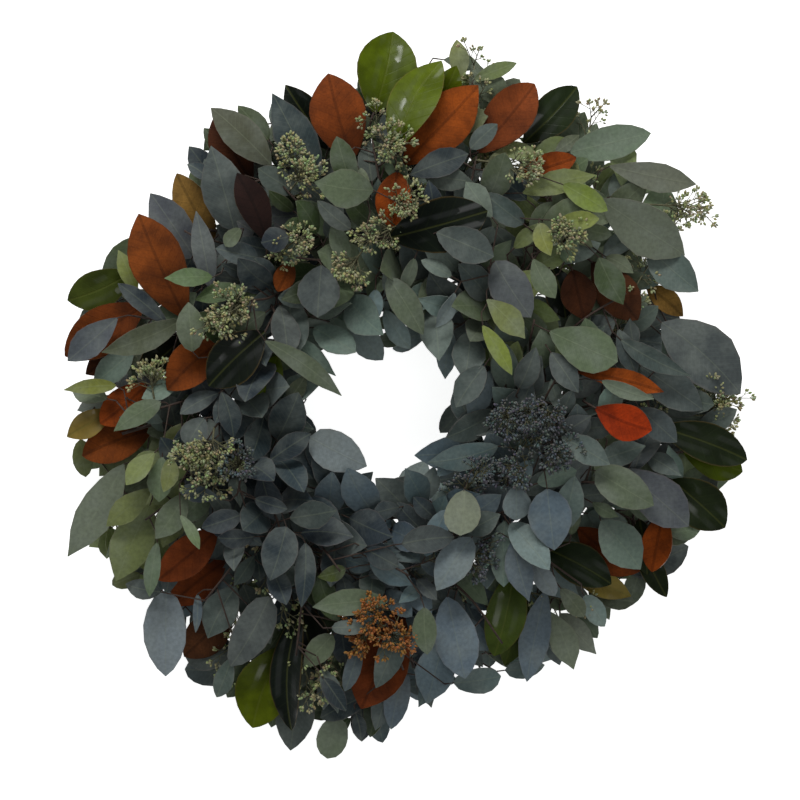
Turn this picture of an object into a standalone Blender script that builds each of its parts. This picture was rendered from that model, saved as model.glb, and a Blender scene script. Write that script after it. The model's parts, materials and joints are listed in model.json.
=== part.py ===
"""Seeded eucalyptus and magnolia wreath on a box-wire frame, lying on its back.

Units are metres and +Z is up. The wreath's back is on z = 0 and its face looks up, so +X is to the
right and +Y to the top of the wreath as it would hang. The origin is under the middle of its outline.
"""

import math
import random
from collections import namedtuple

import bmesh
import bpy
from mathutils import Vector
from mathutils.bvhtree import BVHTree

# Where a leaf shows in the photograph, its tip and root are given as the pixels where they are seen.
# The wreath is 0.606 m tall and 730 pixels tall.
WREATH_HEIGHT = 0.606
PIXEL = WREATH_HEIGHT / 730
ORIGIN_PIXEL = (407.5, 395)
RING_PIXEL = (385, 405)

# Wire frame: a 12 inch box-wire frame, two low rings on cross wires and a raised ring at each edge.
RAISED_RINGS = (0.1050, 0.1520)
LOW_RINGS = (0.1220, 0.1380)
RAISED_HEIGHT = 0.0260
FRAME_WIRE = 0.0016
RING_SEGMENTS = 24
FRAME_SIDES = 4
WIRE_FLAT = FRAME_WIRE * math.cos(math.pi / FRAME_SIDES)
CROSS_WIRES = 6
FIRST_CROSS_WIRE = 22.5
CROSS_WIRE_FOOT = 0.004
SINK = 0.0005
WELD = 0.0001
WELD_SHARES = (1.0, 0.7, 0.5, 0.3, 0.2, 0.1)

# Paddle wire: once round the frame at each tie, and along the trough from tie to tie.
PADDLE_WIRE = 0.0006
TIES = 16
TIE_STEP = 360 / TIES
FIRST_TIE = 33.75
TURN_ANGLE = 2.2
GAP = 0.00035
TROUGH = (LOW_RINGS[0] + LOW_RINGS[1]) / 2
TROUGH_FLOOR = FRAME_WIRE * 2 + GAP + PADDLE_WIRE

# One turn goes up from the trough, over and round both raised rings and back under the low ones. These are
# the distances of its corners from the trough's middle and from the wires.
TURN_UP = 0.0030
TURN_DOWN = 0.0035
TURN_RISE = 0.0015
TURN_EDGE = 0.0008
TURN_SLACK = 0.0006
TURN_FOOT = 0.0050

# Stems. Radii are of the thick end, and a taper is the thin end's share of it.
STEM_SIDES = 3
BUNDLE_THICKNESS = 0.0038
BUNDLE_SIDES = 6
EUCALYPTUS_STEM = 0.0018
EUCALYPTUS_TAPER = 0.6
MAGNOLIA_STEM = 0.0022
MAGNOLIA_TAPER = 0.7
SPRIG_SIDES = 4
SPRIG_FLAT = MAGNOLIA_STEM * math.cos(math.pi / SPRIG_SIDES)
SPRAY_STEM = 0.0010
SPRAY_TAPERS = (1.0, 1.0, 1.0, 0.9, 0.7)
BUNDLE_RADIUS = 0.1240
SPRIG_RADIUS = 0.1385

# Where the tied ends start and stop and where a bunch's stems leave them, in degrees past the tie.
TIED_FROM = -6.0
TIED_TO = 4.0
STEMS_LEAVE = 2.0
BUNDLE_RISE = 0.0010
STEM_APART = 0.0010
STEM_LIFT = 0.0006
STEM_WAVER = 0.002

# Points of a stem are this far apart where stalks look for their start, and the first few stay bare.
ROUTE_STEP = 0.004
BARE_STEM = 5
BARE_SPRIG = 8

# Blades.
EUCALYPTUS_THICKNESS = 0.0012
MAGNOLIA_THICKNESS = 0.0014
EUCALYPTUS_PETIOLE = 0.0009
MAGNOLIA_PETIOLE = 0.0014
CLEARANCE = 0.0005
TABLE_CLEARANCE = 0.0020
TANGENT_STEP = 0.01

# Leaf stalks: where their curve's two inner points lie, how far it sags, the length from which it is made
# of two runs, the longest one, and what a start costs that leaves too short a run or lies above the blade.
STALK_FIRST = 0.35
STALK_SAG = 0.10
STALK_LAST = 0.38
TWO_RUNS = 0.026
LONGEST_STALK = 0.085
SHORTEST_RUN = 0.006
SHORT_RUN_COST = 2
CLIMB_COST = 0.8

# How far a leaf may move from where it is seen to find room. It grows with the trials up to the most.
TRIALS = 90
TRIALS_TO_REACH = 30
MOST_REACH = 1.5
ROOT_HEIGHTS = (-0.006, 0.008)
TIP_HEIGHT = 0.014
TIP_LIFT = 0.004
SIDE_SHIFT = 0.003
ROLL = 0.30
STILL_ROLL = 0.6
LOWEST_ROOT = 0.012
LOWEST_TIP = 0.006

# The foliage is a dome round the ring: where its crest is, how far it spreads and its heights.
CREST_RADIUS = 0.150
CANOPY_SPREAD = 0.165
CANOPY_EDGE = 0.042
CANOPY_RISE = 0.070

# The hole stays open for this half width round this pixel.
HOLE_PIXEL = (394, 404)
HOLE_HALF = 0.0330

# Buds, two on each side twig of a spray.
BUD_RADIUS = 0.0024
TWIG = 0.0006
BUD_STEPS = (0.0, 0.44, 0.60, 0.84)
BRANCHLETS = 4
BRANCHLET_LENGTH = 0.0190
BRANCHLET_LEAN = 0.75
BRANCHLET_TURN = 2.4
BRANCHLET_WAVER = 0.3
BRANCHLETS_FROM = 0.80
BRANCHLETS_RUN = 0.20

# The stalk of a spray: its tied end and its knee, in degrees past the tie, and how it may bend.
SPRAY_TAIL = (-3.0, 2.5)
KNEE = 5.5
KNEE_SWING = 2.0
KNEE_SHIFT = 0.006
KNEE_HEIGHTS = (0.026, 0.040)
SPRAY_SWAY = 0.012
SPRAY_ARCH = 0.010
SPRAY_LEAD = 8
SPRAY_SLACK = 0.0001

Leaf = namedtuple("Leaf", "tip root width level")
Kind = namedtuple("Kind", "sides skew fullness thickness petiole fold bow stations")

EUCALYPTUS = Kind(3, 0.85, 0.75, EUCALYPTUS_THICKNESS, EUCALYPTUS_PETIOLE, 0.0, 0.07, (0.25, 0.52, 0.80))
SILVER_DOLLAR = Kind(3, 1.0, 0.52, EUCALYPTUS_THICKNESS, EUCALYPTUS_PETIOLE, 0.0, 0.04, (0.18, 0.50, 0.84))
MAGNOLIA = Kind(4, 1.05, 0.68, MAGNOLIA_THICKNESS, MAGNOLIA_PETIOLE, 0.16, 0.09, (0.20, 0.46, 0.74))
SMALL = Kind(3, 0.85, 0.75, EUCALYPTUS_THICKNESS, EUCALYPTUS_PETIOLE, 0.0, 0.07, (0.30, 0.66))

# Magnolia leaves that turn their rust-brown underside to the front. Level 1 is the top of the
# foliage and 0 is the table.
RUST_LEAVES = (
    Leaf((328, 73), (352, 160), 0.047, 0.50),
    Leaf((478, 86), (404, 165), 0.044, 0.62),
    Leaf((535, 83), (478, 152), 0.040, 0.48),
    Leaf((576, 158), (520, 176), 0.022, 0.62),
    Leaf((214, 116), (252, 182), 0.034, 0.46),
    Leaf((238, 174), (268, 243), 0.027, 0.80),
    Leaf((176, 172), (214, 240), 0.030, 0.30),
    Leaf((139, 214), (186, 318), 0.046, 0.62),
    Leaf((64, 356), (142, 306), 0.040, 0.40),
    Leaf((84, 374), (124, 345), 0.022, 0.20),
    Leaf((168, 390), (226, 338), 0.036, 0.66),
    Leaf((100, 424), (146, 384), 0.030, 0.44),
    Leaf((81, 456), (150, 430), 0.035, 0.30),
    Leaf((158, 580), (217, 530), 0.032, 0.52),
    Leaf((170, 606), (225, 562), 0.032, 0.34),
    Leaf((183, 658), (232, 612), 0.034, 0.24),
    Leaf((278, 292), (292, 262), 0.018, 0.72),
    Leaf((361, 709), (402, 612), 0.047, 0.50),
    Leaf((584, 320), (572, 270), 0.030, 0.60),
    Leaf((638, 320), (592, 262), 0.036, 0.50),
    Leaf((684, 316), (648, 286), 0.020, 0.26),
    Leaf((662, 392), (576, 372), 0.018, 0.86),
    Leaf((650, 430), (594, 408), 0.031, 0.90),
    Leaf((640, 572), (578, 528), 0.034, 0.42),
    Leaf((392, 228), (396, 172), 0.030, 0.74),
    Leaf((652, 572), (664, 512), 0.026, 0.52),
)

# Magnolia leaves that turn their green face to the front.
GREEN_LEAVES = (
    Leaf((393, 30), (374, 112), 0.050, 0.44),
    Leaf((442, 61), (392, 154), 0.043, 0.70),
    Leaf((452, 66), (424, 120), 0.030, 0.36),
    Leaf((284, 83), (334, 150), 0.030, 0.30),
    Leaf((578, 85), (524, 142), 0.034, 0.36),
    Leaf((486, 212), (388, 240), 0.046, 0.86),
    Leaf((66, 300), (130, 272), 0.034, 0.30),
    Leaf((210, 386), (266, 332), 0.040, 0.84),
    Leaf((137, 372), (186, 334), 0.030, 0.42),
    Leaf((66, 437), (112, 410), 0.022, 0.38),
    Leaf((252, 729), (283, 646), 0.046, 0.40),
    Leaf((292, 728), (306, 612), 0.030, 0.56),
    Leaf((494, 656), (514, 570), 0.034, 0.52),
    Leaf((503, 668), (526, 596), 0.026, 0.34),
    Leaf((612, 584), (545, 548), 0.034, 0.44),
    Leaf((632, 597), (566, 570), 0.022, 0.28),
    Leaf((726, 528), (672, 480), 0.040, 0.50),
    Leaf((748, 460), (662, 428), 0.033, 0.54),
    Leaf((566, 318), (548, 262), 0.030, 0.58),
)

# Eucalyptus leaves that can be told apart in the photograph.
CLEAR_LEAVES = (
    Leaf((268, 93), (318, 188), 0.036, 0.62),
    Leaf((211, 108), (272, 166), 0.030, 0.66),
    Leaf((211, 146), (235, 232), 0.038, 0.60),
    Leaf((150, 193), (198, 262), 0.032, 0.50),
    Leaf((197, 212), (212, 290), 0.020, 0.74),
    Leaf((166, 279), (214, 278), 0.016, 0.84),
    Leaf((119, 284), (168, 324), 0.016, 0.76),
    Leaf((68, 361), (118, 318), 0.026, 0.62),
    Leaf((94, 384), (134, 350), 0.024, 0.50),
    Leaf((103, 352), (183, 318), 0.023, 0.72),
    Leaf((190, 303), (194, 352), 0.024, 0.88),
    Leaf((64, 390), (118, 388), 0.013, 0.58),
    Leaf((115, 431), (162, 402), 0.019, 0.72),
    Leaf((67, 557), (124, 464), 0.032, 0.50),
    Leaf((107, 526), (152, 488), 0.022, 0.68),
    Leaf((116, 581), (150, 505), 0.036, 0.54),
    Leaf((157, 538), (186, 494), 0.024, 0.78),
    Leaf((150, 596), (158, 542), 0.014, 0.70),
    Leaf((201, 548), (182, 514), 0.010, 0.90),
    Leaf((203, 527), (242, 514), 0.020, 0.84),
    Leaf((165, 677), (166, 590), 0.037, 0.46),
    Leaf((196, 632), (198, 594), 0.008, 0.62),
    Leaf((208, 638), (236, 586), 0.030, 0.56),
    Leaf((231, 666), (270, 596), 0.032, 0.62),
    Leaf((272, 579), (286, 526), 0.031, 0.82),
    Leaf((302, 606), (306, 542), 0.018, 0.80),
    Leaf((290, 752), (300, 690), 0.033, 0.36),
    Leaf((304, 667), (333, 634), 0.021, 0.62),
    Leaf((345, 691), (360, 640), 0.014, 0.62),
    Leaf((376, 687), (398, 628), 0.023, 0.72),
    Leaf((391, 730), (406, 672), 0.021, 0.44),
    Leaf((313, 606), (388, 600), 0.023, 0.74),
    Leaf((427, 704), (446, 634), 0.034, 0.50),
    Leaf((465, 678), (447, 596), 0.037, 0.66),
    Leaf((427, 653), (424, 606), 0.021, 0.82),
    Leaf((436, 590), (470, 536), 0.030, 0.84),
    Leaf((503, 586), (504, 520), 0.022, 0.74),
    Leaf((528, 601), (512, 540), 0.024, 0.80),
    Leaf((527, 682), (546, 590), 0.026, 0.46),
    Leaf((574, 670), (550, 612), 0.025, 0.46),
    Leaf((597, 655), (560, 614), 0.022, 0.36),
    Leaf((553, 549), (546, 488), 0.037, 0.92),
    Leaf((640, 569), (600, 520), 0.036, 0.66),
    Leaf((688, 526), (622, 468), 0.039, 0.74),
    Leaf((652, 505), (594, 470), 0.032, 0.88),
    Leaf((608, 464), (560, 436), 0.023, 0.96),
    Leaf((676, 442), (638, 408), 0.024, 0.72),
    Leaf((703, 410), (640, 366), 0.032, 0.54),
    Leaf((741, 394), (662, 322), 0.052, 0.46),
    Leaf((690, 376), (620, 340), 0.018, 0.70),
    Leaf((652, 397), (604, 374), 0.014, 0.78),
    Leaf((697, 293), (648, 250), 0.032, 0.46),
    Leaf((684, 255), (600, 200), 0.044, 0.64),
    Leaf((697, 183), (610, 166), 0.025, 0.54),
    Leaf((652, 132), (570, 152), 0.029, 0.48),
    Leaf((517, 62), (474, 79), 0.013, 0.50),
    Leaf((457, 38), (459, 80), 0.017, 0.40),
    Leaf((622, 305), (598, 258), 0.025, 0.78),
    Leaf((606, 212), (562, 186), 0.019, 0.90),
    Leaf((598, 220), (556, 222), 0.016, 0.94),
    Leaf((596, 176), (522, 194), 0.021, 0.78),
    Leaf((548, 258), (538, 224), 0.017, 0.96),
    Leaf((554, 299), (532, 260), 0.020, 0.90),
    Leaf((530, 318), (494, 262), 0.034, 0.84),
    Leaf((524, 339), (486, 300), 0.023, 0.92),
    Leaf((511, 375), (482, 326), 0.015, 0.94),
    Leaf((445, 379), (452, 332), 0.017, 0.62),
    Leaf((423, 335), (388, 278), 0.024, 0.88),
    Leaf((410, 349), (384, 310), 0.018, 0.60),
    Leaf((383, 360), (352, 322), 0.024, 0.56),
    Leaf((345, 353), (332, 318), 0.022, 0.52),
    Leaf((343, 395), (266, 342), 0.018, 0.90),
    Leaf((336, 376), (286, 336), 0.018, 0.66),
    Leaf((367, 466), (310, 437), 0.034, 0.80),
    Leaf((428, 462), (498, 446), 0.023, 0.78),
    Leaf((493, 258), (436, 234), 0.030, 0.96),
    Leaf((468, 155), (410, 176), 0.024, 0.76),
    Leaf((315, 184), (374, 192), 0.034, 0.92),
    Leaf((337, 138), (354, 192), 0.022, 0.84),
    Leaf((318, 318), (322, 266), 0.036, 0.86),
    Leaf((497, 125), (470, 150), 0.016, 0.74),
)

# Round leaves.
ROUND_LEAVES = (
    Leaf((327, 760), (338, 718), 0.026, 0.40),
    Leaf((189, 446), (206, 418), 0.023, 0.92),
    Leaf((264, 244), (290, 236), 0.022, 0.92),
    Leaf((460, 534), (464, 490), 0.031, 0.96),
    Leaf((514, 519), (516, 484), 0.026, 0.92),
    Leaf((616, 362), (548, 332), 0.038, 0.92),
    Leaf((228, 250), (240, 230), 0.013, 0.94),
)

# Seed clusters of the eucalyptus: the middle of each, as a pixel, and its level.
SEED_CLUSTERS = (
    ((290, 152), 0.72),
    ((374, 122), 0.70),
    ((372, 240), 0.98),
    ((300, 238), 0.96),
    ((236, 306), 0.92),
    ((474, 64), 0.46),
    ((592, 116), 0.36),
    ((678, 216), 0.52),
    ((704, 392), 0.42),
    ((532, 436), 0.98),
    ((478, 470), 0.94),
    ((480, 546), 0.74),
    ((574, 602), 0.36),
    ((206, 486), 0.88),
    ((230, 672), 0.30),
    ((312, 690), 0.62),
)

# Leafy stems of one bunch. Each point is the angle past the tie, the distance from the ring's axis
# and the height.
STEM_ROUTES = {
    "outer_low": ((6.5, 0.1500, 0.0350), (8.5, 0.1980, 0.0400), (9.5, 0.2420, 0.0300)),
    "outer_high": ((7.0, 0.1420, 0.0520), (12.0, 0.1780, 0.0780), (14.5, 0.2200, 0.0720)),
    "crown": ((7.5, 0.1270, 0.0560), (13.0, 0.1310, 0.0860), (19.0, 0.1420, 0.0960)),
    "inner": ((6.5, 0.1130, 0.0440), (10.5, 0.1010, 0.0620), (14.0, 0.0880, 0.0580)),
}
SPRIG_ROUTE = (
    (9.0, 0.1385, 0.0185),
    (12.0, 0.1460, 0.0330),
    (15.5, 0.1850, 0.0460),
    (17.5, 0.2200, 0.0440),
)

# Pairs of leaves along the stems.
FILL_LEAVES = 5
LEAF_PAIR_STEP = 0.0210
LEAF_PAIR_LENGTH = (0.044, 0.062)
PAIR_WIDTHS = (0.48, 0.62)
PAIR_ANGLES = (30, 75)
PAIR_RISES = (-0.35, 0.75)
PAIR_STALK = 0.012
PAIR_ROLL = 0.5
PAIR_TRIALS = 14
PAIR_FARTHEST = 0.03
OVER_CANOPY = 0.006


def on_plan(pixel, z=0.0):
    """The point at height z that a pixel of the photograph shows."""
    x = (pixel[0] - ORIGIN_PIXEL[0]) * PIXEL
    y = (ORIGIN_PIXEL[1] - pixel[1]) * PIXEL
    return Vector((x, y, z))


RING_CENTRE = on_plan(RING_PIXEL)


def polar(angle, radius, z):
    """The point at an angle in degrees round the ring's axis."""
    turn = math.radians(angle)
    return RING_CENTRE + Vector((radius * math.cos(turn), radius * math.sin(turn), z))


def canopy(point):
    """Height of the top of the foliage over a point of the table."""
    radius = (Vector((point.x, point.y, 0)) - RING_CENTRE).length
    across = min(abs(radius - CREST_RADIUS) / CANOPY_SPREAD, 1.0)
    return CANOPY_EDGE + CANOPY_RISE * math.sqrt(1 - across**2)


def tie_angle(index):
    return FIRST_TIE + index * TIE_STEP


def bezier(points, t):
    """Point of a Bezier curve of any degree."""
    while len(points) > 1:
        points = [a.lerp(b, t) for a, b in zip(points, points[1:])]
    return points[0]


def new_object(name, mesh, material):
    mesh.materials.clear()
    mesh.materials.append(material)
    obj = bpy.data.objects.new(name, mesh)
    bpy.context.scene.collection.objects.link(obj)
    return obj


def mesh_from(name, points, faces):
    """A closed mesh with its faces turned outwards."""
    shape = bmesh.new()
    corners = [shape.verts.new(point) for point in points]
    for face in faces:
        shape.faces.new([corners[index] for index in face])
    bmesh.ops.recalc_face_normals(shape, faces=shape.faces[:])
    mesh = bpy.data.meshes.new(name)
    shape.to_mesh(mesh)
    shape.free()
    return mesh


def loft(rings, closed=False, tip=None):
    """Points and triangles of a skin over rings of equal size, with flat ends or a pointed tip."""
    size = len(rings[0])
    points = [point for ring in rings for point in ring]
    faces = []
    spans = len(rings) if closed else len(rings) - 1
    for span in range(spans):
        first = span * size
        after = (span + 1) % len(rings) * size
        for side in range(size):
            turn = (side + 1) % size
            faces += split(first + side, first + turn, after + turn, after + side, side, size)
    if closed:
        return points, faces
    faces.append(tuple(range(size)))
    last = (len(rings) - 1) * size
    if tip is None:
        faces.append(tuple(range(last + size - 1, last - 1, -1)))
        return points, faces
    points.append(tip)
    for side in range(size):
        faces.append((last + side, last + (side + 1) % size, len(points) - 1))
    return points, faces


def split(a, b, c, d, side, size):
    """Two triangles of a quad. On a blade of four sides both faces of each half are split alike."""
    if size == 4 and side % 2:
        return [(a, b, d), (b, c, d)]
    return [(a, b, c), (a, c, d)]


def tube_rings(path, radii, sides, start=None):
    """Rings along a path, carried on without twist and mitred where it bends."""
    rings = []
    side_way = start
    for index, point in enumerate(path):
        came = (point - path[max(index - 1, 0)]).normalized()
        goes = (path[min(index + 1, len(path) - 1)] - point).normalized()
        along = (came + goes).normalized()
        bend = goes - came if 0 < index < len(path) - 1 else Vector()
        stretch = 1 / along.dot(goes) - 1 if bend.length > 1e-4 else 0.0
        bend.normalize()
        if side_way is None:
            side_way = Vector((0, 0, 1)).cross(along)
        side_way = (side_way - along * side_way.dot(along)).normalized()
        up_way = along.cross(side_way)
        ring = []
        for corner in range(sides):
            turn = math.tau * (corner + 0.5) / sides
            offset = (side_way * math.sin(turn) + up_way * math.cos(turn)) * radii[index]
            ring.append(point + offset + bend * (offset.dot(bend) * stretch))
        rings.append(ring)
    return rings


def half_width(kind, t):
    """Half width of a blade at t from its root to its tip, as a share of the widest."""
    return math.sin(math.pi * t**kind.skew) ** kind.fullness


class Placed:
    """Everything made so far, for keeping new leaves clear of it."""

    def __init__(self):
        self.items = []

    def add(self, points, faces, owner, part):
        low = [min(point[axis] for point in points) for axis in range(3)]
        high = [max(point[axis] for point in points) for axis in range(3)]
        tree = BVHTree.FromPolygons([tuple(point) for point in points], faces)
        self.items.append((low, high, tree, owner, part))

    def hit(self, points, faces, owner="", ignore=""):
        """True where these faces cross anything but the named part of their own node."""
        low = [min(point[axis] for point in points) for axis in range(3)]
        high = [max(point[axis] for point in points) for axis in range(3)]
        tree = None
        for item_low, item_high, other, item_owner, part in self.items:
            if item_owner == owner and part == ignore:
                continue
            if any(item_low[axis] > high[axis] or item_high[axis] < low[axis] for axis in range(3)):
                continue
            if tree is None:
                tree = BVHTree.FromPolygons([tuple(point) for point in points], faces)
            if tree.overlap(other):
                return True
        return False


def blade_rings(kind, root, tip, width, roll, grow=0.0):
    """Diamond rings of a blade from its root on, its axes at the root, and its tip."""
    axis = (tip - root).normalized()
    side = axis.cross(Vector((0, 0, 1))).normalized()
    up_way = side.cross(axis)
    side, up_way = (
        side * math.cos(roll) + up_way * math.sin(roll),
        up_way * math.cos(roll) - side * math.sin(roll),
    )
    length = (tip - root).length
    control = root.lerp(tip, 0.5) + up_way * (kind.bow * length * 2)
    rings = []
    for t in (0.0,) + kind.stations:
        middle = bezier([root, control, tip], t)
        along = (bezier([root, control, tip], t + TANGENT_STEP) - middle).normalized()
        lift = side.cross(along)
        if t == 0.0:
            half, edge, thick = kind.petiole, 0.0, kind.petiole
        else:
            half = width / 2 * half_width(kind, t)
            edge, thick = half * kind.fold, kind.thickness / 2
        half += grow
        thick += grow
        ring = [middle - side * half + lift * edge, middle + lift * thick]
        ring += [middle + side * half + lift * edge, middle - lift * thick]
        if kind.sides == 3:
            ring = [ring[0] + lift * grow, ring[2] + lift * grow, middle - lift * thick * 2]
        rings.append(ring)
    return rings, side, axis, tip + axis * grow


def petiole_rings(kind, start, root, axis, side, radius, grow=0.0):
    """Diamond rings of a leaf stalk, from inside its stem to just before the blade."""
    reach = (root - start).length
    sag = Vector((0, 0, STALK_SAG * reach))
    curve = [start, start.lerp(root, STALK_FIRST) - sag, root - axis * (STALK_LAST * reach), root]
    steps = 1 if reach < TWO_RUNS else 2
    rings = []
    for step in range(steps):
        t = step / steps
        middle = bezier(curve, t)
        along = (bezier(curve, t + TANGENT_STEP * 2) - middle).normalized()
        across = (side - along * side.dot(along)).normalized()
        lift = across.cross(along)
        thick = (radius if step else radius * 0.5) + grow
        ring = [middle - across * thick, middle + lift * thick, middle + across * thick, middle - lift * thick]
        rings.append(ring if kind.sides == 4 else [ring[0], ring[2], ring[3]])
    return rings


def nearest_on(routes, root, axis):
    """The point of the node's stems that a leaf stalk best starts from."""
    best = None
    for route in routes:
        for point in route:
            back = (root - point).dot(axis)
            cost = (root - point).length + max(0.0, SHORTEST_RUN - back) * SHORT_RUN_COST
            cost += max(0.0, point.z - root.z) * CLIMB_COST
            if best is None or cost < best[0]:
                best = (cost, point)
    return best


def dense(route):
    """A route with points close together."""
    points = []
    for a, b in zip(route, route[1:]):
        count = max(1, round((b - a).length / ROUTE_STEP))
        points += [a.lerp(b, index / count) for index in range(count)]
    return points + [route[-1]]


def union(name, meshes, material):
    """One solid made of overlapping closed meshes."""
    base = new_object(name, meshes[0], material)
    if len(meshes) == 1:
        return base
    others = bpy.data.collections.new(name + "_repeats")
    bpy.context.scene.collection.children.link(others)
    for index, mesh in enumerate(meshes[1:]):
        others.objects.link(bpy.data.objects.new(f"{name}_repeat_{index}", mesh))
    join = base.modifiers.new("Join", "BOOLEAN")
    join.operation = "UNION"
    join.operand_type = "COLLECTION"
    join.collection = others
    join.solver = "MANIFOLD"
    graph = bpy.context.evaluated_depsgraph_get()
    joined = bpy.data.meshes.new_from_object(base.evaluated_get(graph))
    weld(joined)
    base.modifiers.clear()
    base.data = joined
    base.data.materials.clear()
    base.data.materials.append(material)
    for obj in list(others.objects):
        bpy.data.objects.remove(obj)
    bpy.data.collections.remove(others)
    return base


def weld(mesh):
    """Closes up the slivers that a union leaves where a stalk grazes an edge of its stem."""
    for share in WELD_SHARES:
        shape = bmesh.new()
        shape.from_mesh(mesh)
        bmesh.ops.triangulate(shape, faces=shape.faces[:], ngon_method="EAR_CLIP")
        bmesh.ops.remove_doubles(shape, verts=shape.verts[:], dist=WELD * share)
        whole = all(len(edge.link_faces) == 2 for edge in shape.edges)
        if whole:
            shape.to_mesh(mesh)
        shape.free()
        if whole:
            return


def principled(name, colour, roughness, metallic=0.0):
    material = bpy.data.materials.new(name)
    material.use_nodes = True
    shader = material.node_tree.nodes["Principled BSDF"]
    shader.inputs["Base Color"].default_value = (*colour, 1.0)
    shader.inputs["Roughness"].default_value = roughness
    shader.inputs["Metallic"].default_value = metallic
    material.diffuse_color = (*colour, 1.0)
    return material


def make_frame(material, placed):
    """Four rings on bent cross wires, welded where they meet."""
    rise = RAISED_HEIGHT
    low = WIRE_FLAT * 3 - SINK
    meshes = []
    for radius, height in zip(RAISED_RINGS + LOW_RINGS, (rise, rise, low, low)):
        turns = [90 + (step + 0.5) * 360 / RING_SEGMENTS for step in range(RING_SEGMENTS)]
        path = [polar(turn, radius, height) for turn in turns]
        rings = []
        for step, point in enumerate(path):
            out = (point - RING_CENTRE - Vector((0, 0, height))).normalized()
            ring = []
            for corner in range(FRAME_SIDES):
                turn = math.tau * (corner + 0.5) / FRAME_SIDES
                lift = Vector((0, 0, FRAME_WIRE * math.cos(turn)))
                ring.append(point + out * (FRAME_WIRE * math.sin(turn)) + lift)
            rings.append(ring)
        points, faces = loft(rings, closed=True)
        placed.add(points, faces, "wire_frame", "frame")
        meshes.append(mesh_from("ring", points, faces))
    for index in range(CROSS_WIRES):
        angle = FIRST_CROSS_WIRE + index * 360 / CROSS_WIRES
        feet = (LOW_RINGS[0] - CROSS_WIRE_FOOT, LOW_RINGS[1] + CROSS_WIRE_FOOT)
        radii = (RAISED_RINGS[0] + SINK, *feet, RAISED_RINGS[1] - SINK)
        heights = (rise, WIRE_FLAT, WIRE_FLAT, rise)
        path = [polar(angle, radius, height) for radius, height in zip(radii, heights)]
        across = polar(angle + 90, 1, 0) - RING_CENTRE
        rings = tube_rings(path, [FRAME_WIRE] * 4, FRAME_SIDES, start=across)
        points, faces = loft(rings)
        placed.add(points, faces, "wire_frame", "frame")
        meshes.append(mesh_from("cross_wire", points, faces))
    return union("wire_frame", meshes, material)


def tie_turn(angle):
    """One turn of the paddle wire round the frame and back into the trough."""
    under = WIRE_FLAT * 2 - SINK - GAP - PADDLE_WIRE / 2
    over = RAISED_HEIGHT + WIRE_FLAT + GAP + PADDLE_WIRE
    beside = FRAME_WIRE + GAP * 2 + PADDLE_WIRE
    inner = RAISED_RINGS[0] * math.cos(math.pi / RING_SEGMENTS)
    section = (
        (TROUGH + TURN_UP, TROUGH_FLOOR),
        (TROUGH + TURN_DOWN, over + TURN_RISE),
        (RAISED_RINGS[1] + TURN_EDGE, over + TURN_SLACK),
        (RAISED_RINGS[1] + beside + TURN_SLACK, RAISED_HEIGHT),
        (LOW_RINGS[1] + TURN_FOOT, under),
        (LOW_RINGS[0] - TURN_FOOT, under),
        (inner - beside - TURN_SLACK, RAISED_HEIGHT),
        (inner - TURN_EDGE, over + TURN_SLACK),
        (TROUGH + TURN_UP, over + TURN_RISE),
        (TROUGH + TURN_DOWN, TROUGH_FLOOR),
    )
    last = len(section) - 1
    return [polar(angle + TURN_ANGLE * step / last, r, z) for step, (r, z) in enumerate(section)]


def make_paddle_wire(material, placed):
    """One wire, tied round the frame at each bunch."""
    path = []
    for index in range(TIES):
        angle = tie_angle(index) - TURN_ANGLE / 2
        path += tie_turn(angle)
        if index < TIES - 1:
            path.append(polar(angle + (TIE_STEP + TURN_ANGLE) / 2, TROUGH, TROUGH_FLOOR))
    points, faces = loft(tube_rings(path, [PADDLE_WIRE] * len(path), 3))
    placed.add(points, faces, "paddle_wire", "wire")
    return new_object("paddle_wire", mesh_from("paddle_wire", points, faces), material)


def stem_mesh(route, thick, taper, sides, owner, placed):
    """A tapered stem along a route, and the points that stalks may start from."""
    last = len(route) - 1
    thin = thick * taper
    radii = [thick + (thin - thick) * index / last for index in range(len(route))]
    points, faces = loft(tube_rings(route, radii, sides))
    placed.add(points, faces, owner, "stem")
    return mesh_from("stem", points, faces), dense(route)[:-1]


def trough_bed():
    """Height of the tops of the low rings, which tied stems lie on."""
    return WIRE_FLAT * 4 - SINK + GAP


def bundle_height():
    return trough_bed() + BUNDLE_THICKNESS * math.cos(math.pi / BUNDLE_SIDES)


def make_bunch_stems(index, placed):
    """The tied ends of one bunch and the stems that leave them."""
    owner = f"eucalyptus_bunch_{index + 1:02d}"
    draw = random.Random(f"{owner} stems")
    angle = tie_angle(index)
    height = bundle_height()
    cut_end = polar(angle + TIED_FROM, BUNDLE_RADIUS, height)
    ends = [cut_end, polar(angle + TIED_TO, BUNDLE_RADIUS, height + BUNDLE_RISE)]
    points, faces = loft(tube_rings(ends, [BUNDLE_THICKNESS] * 2, BUNDLE_SIDES))
    placed.add(points, faces, owner, "stem")
    meshes = [mesh_from("bundle", points, faces)]
    routes = []
    for place, name in enumerate(STEM_ROUTES):
        offset = Vector((0, 0, STEM_LIFT * place))
        route = [polar(angle + STEMS_LEAVE, BUNDLE_RADIUS + (1.5 - place) * STEM_APART, height) + offset]
        for past, radius, z in STEM_ROUTES[name]:
            turn = angle + past + draw.uniform(-1, 1)
            route.append(polar(turn, radius, z + draw.uniform(-STEM_WAVER, STEM_WAVER)))
        mesh, points = stem_mesh(route, EUCALYPTUS_STEM, EUCALYPTUS_TAPER, STEM_SIDES, owner, placed)
        meshes.append(mesh)
        routes.append(points[BARE_STEM:])
    return owner, meshes, routes


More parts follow.
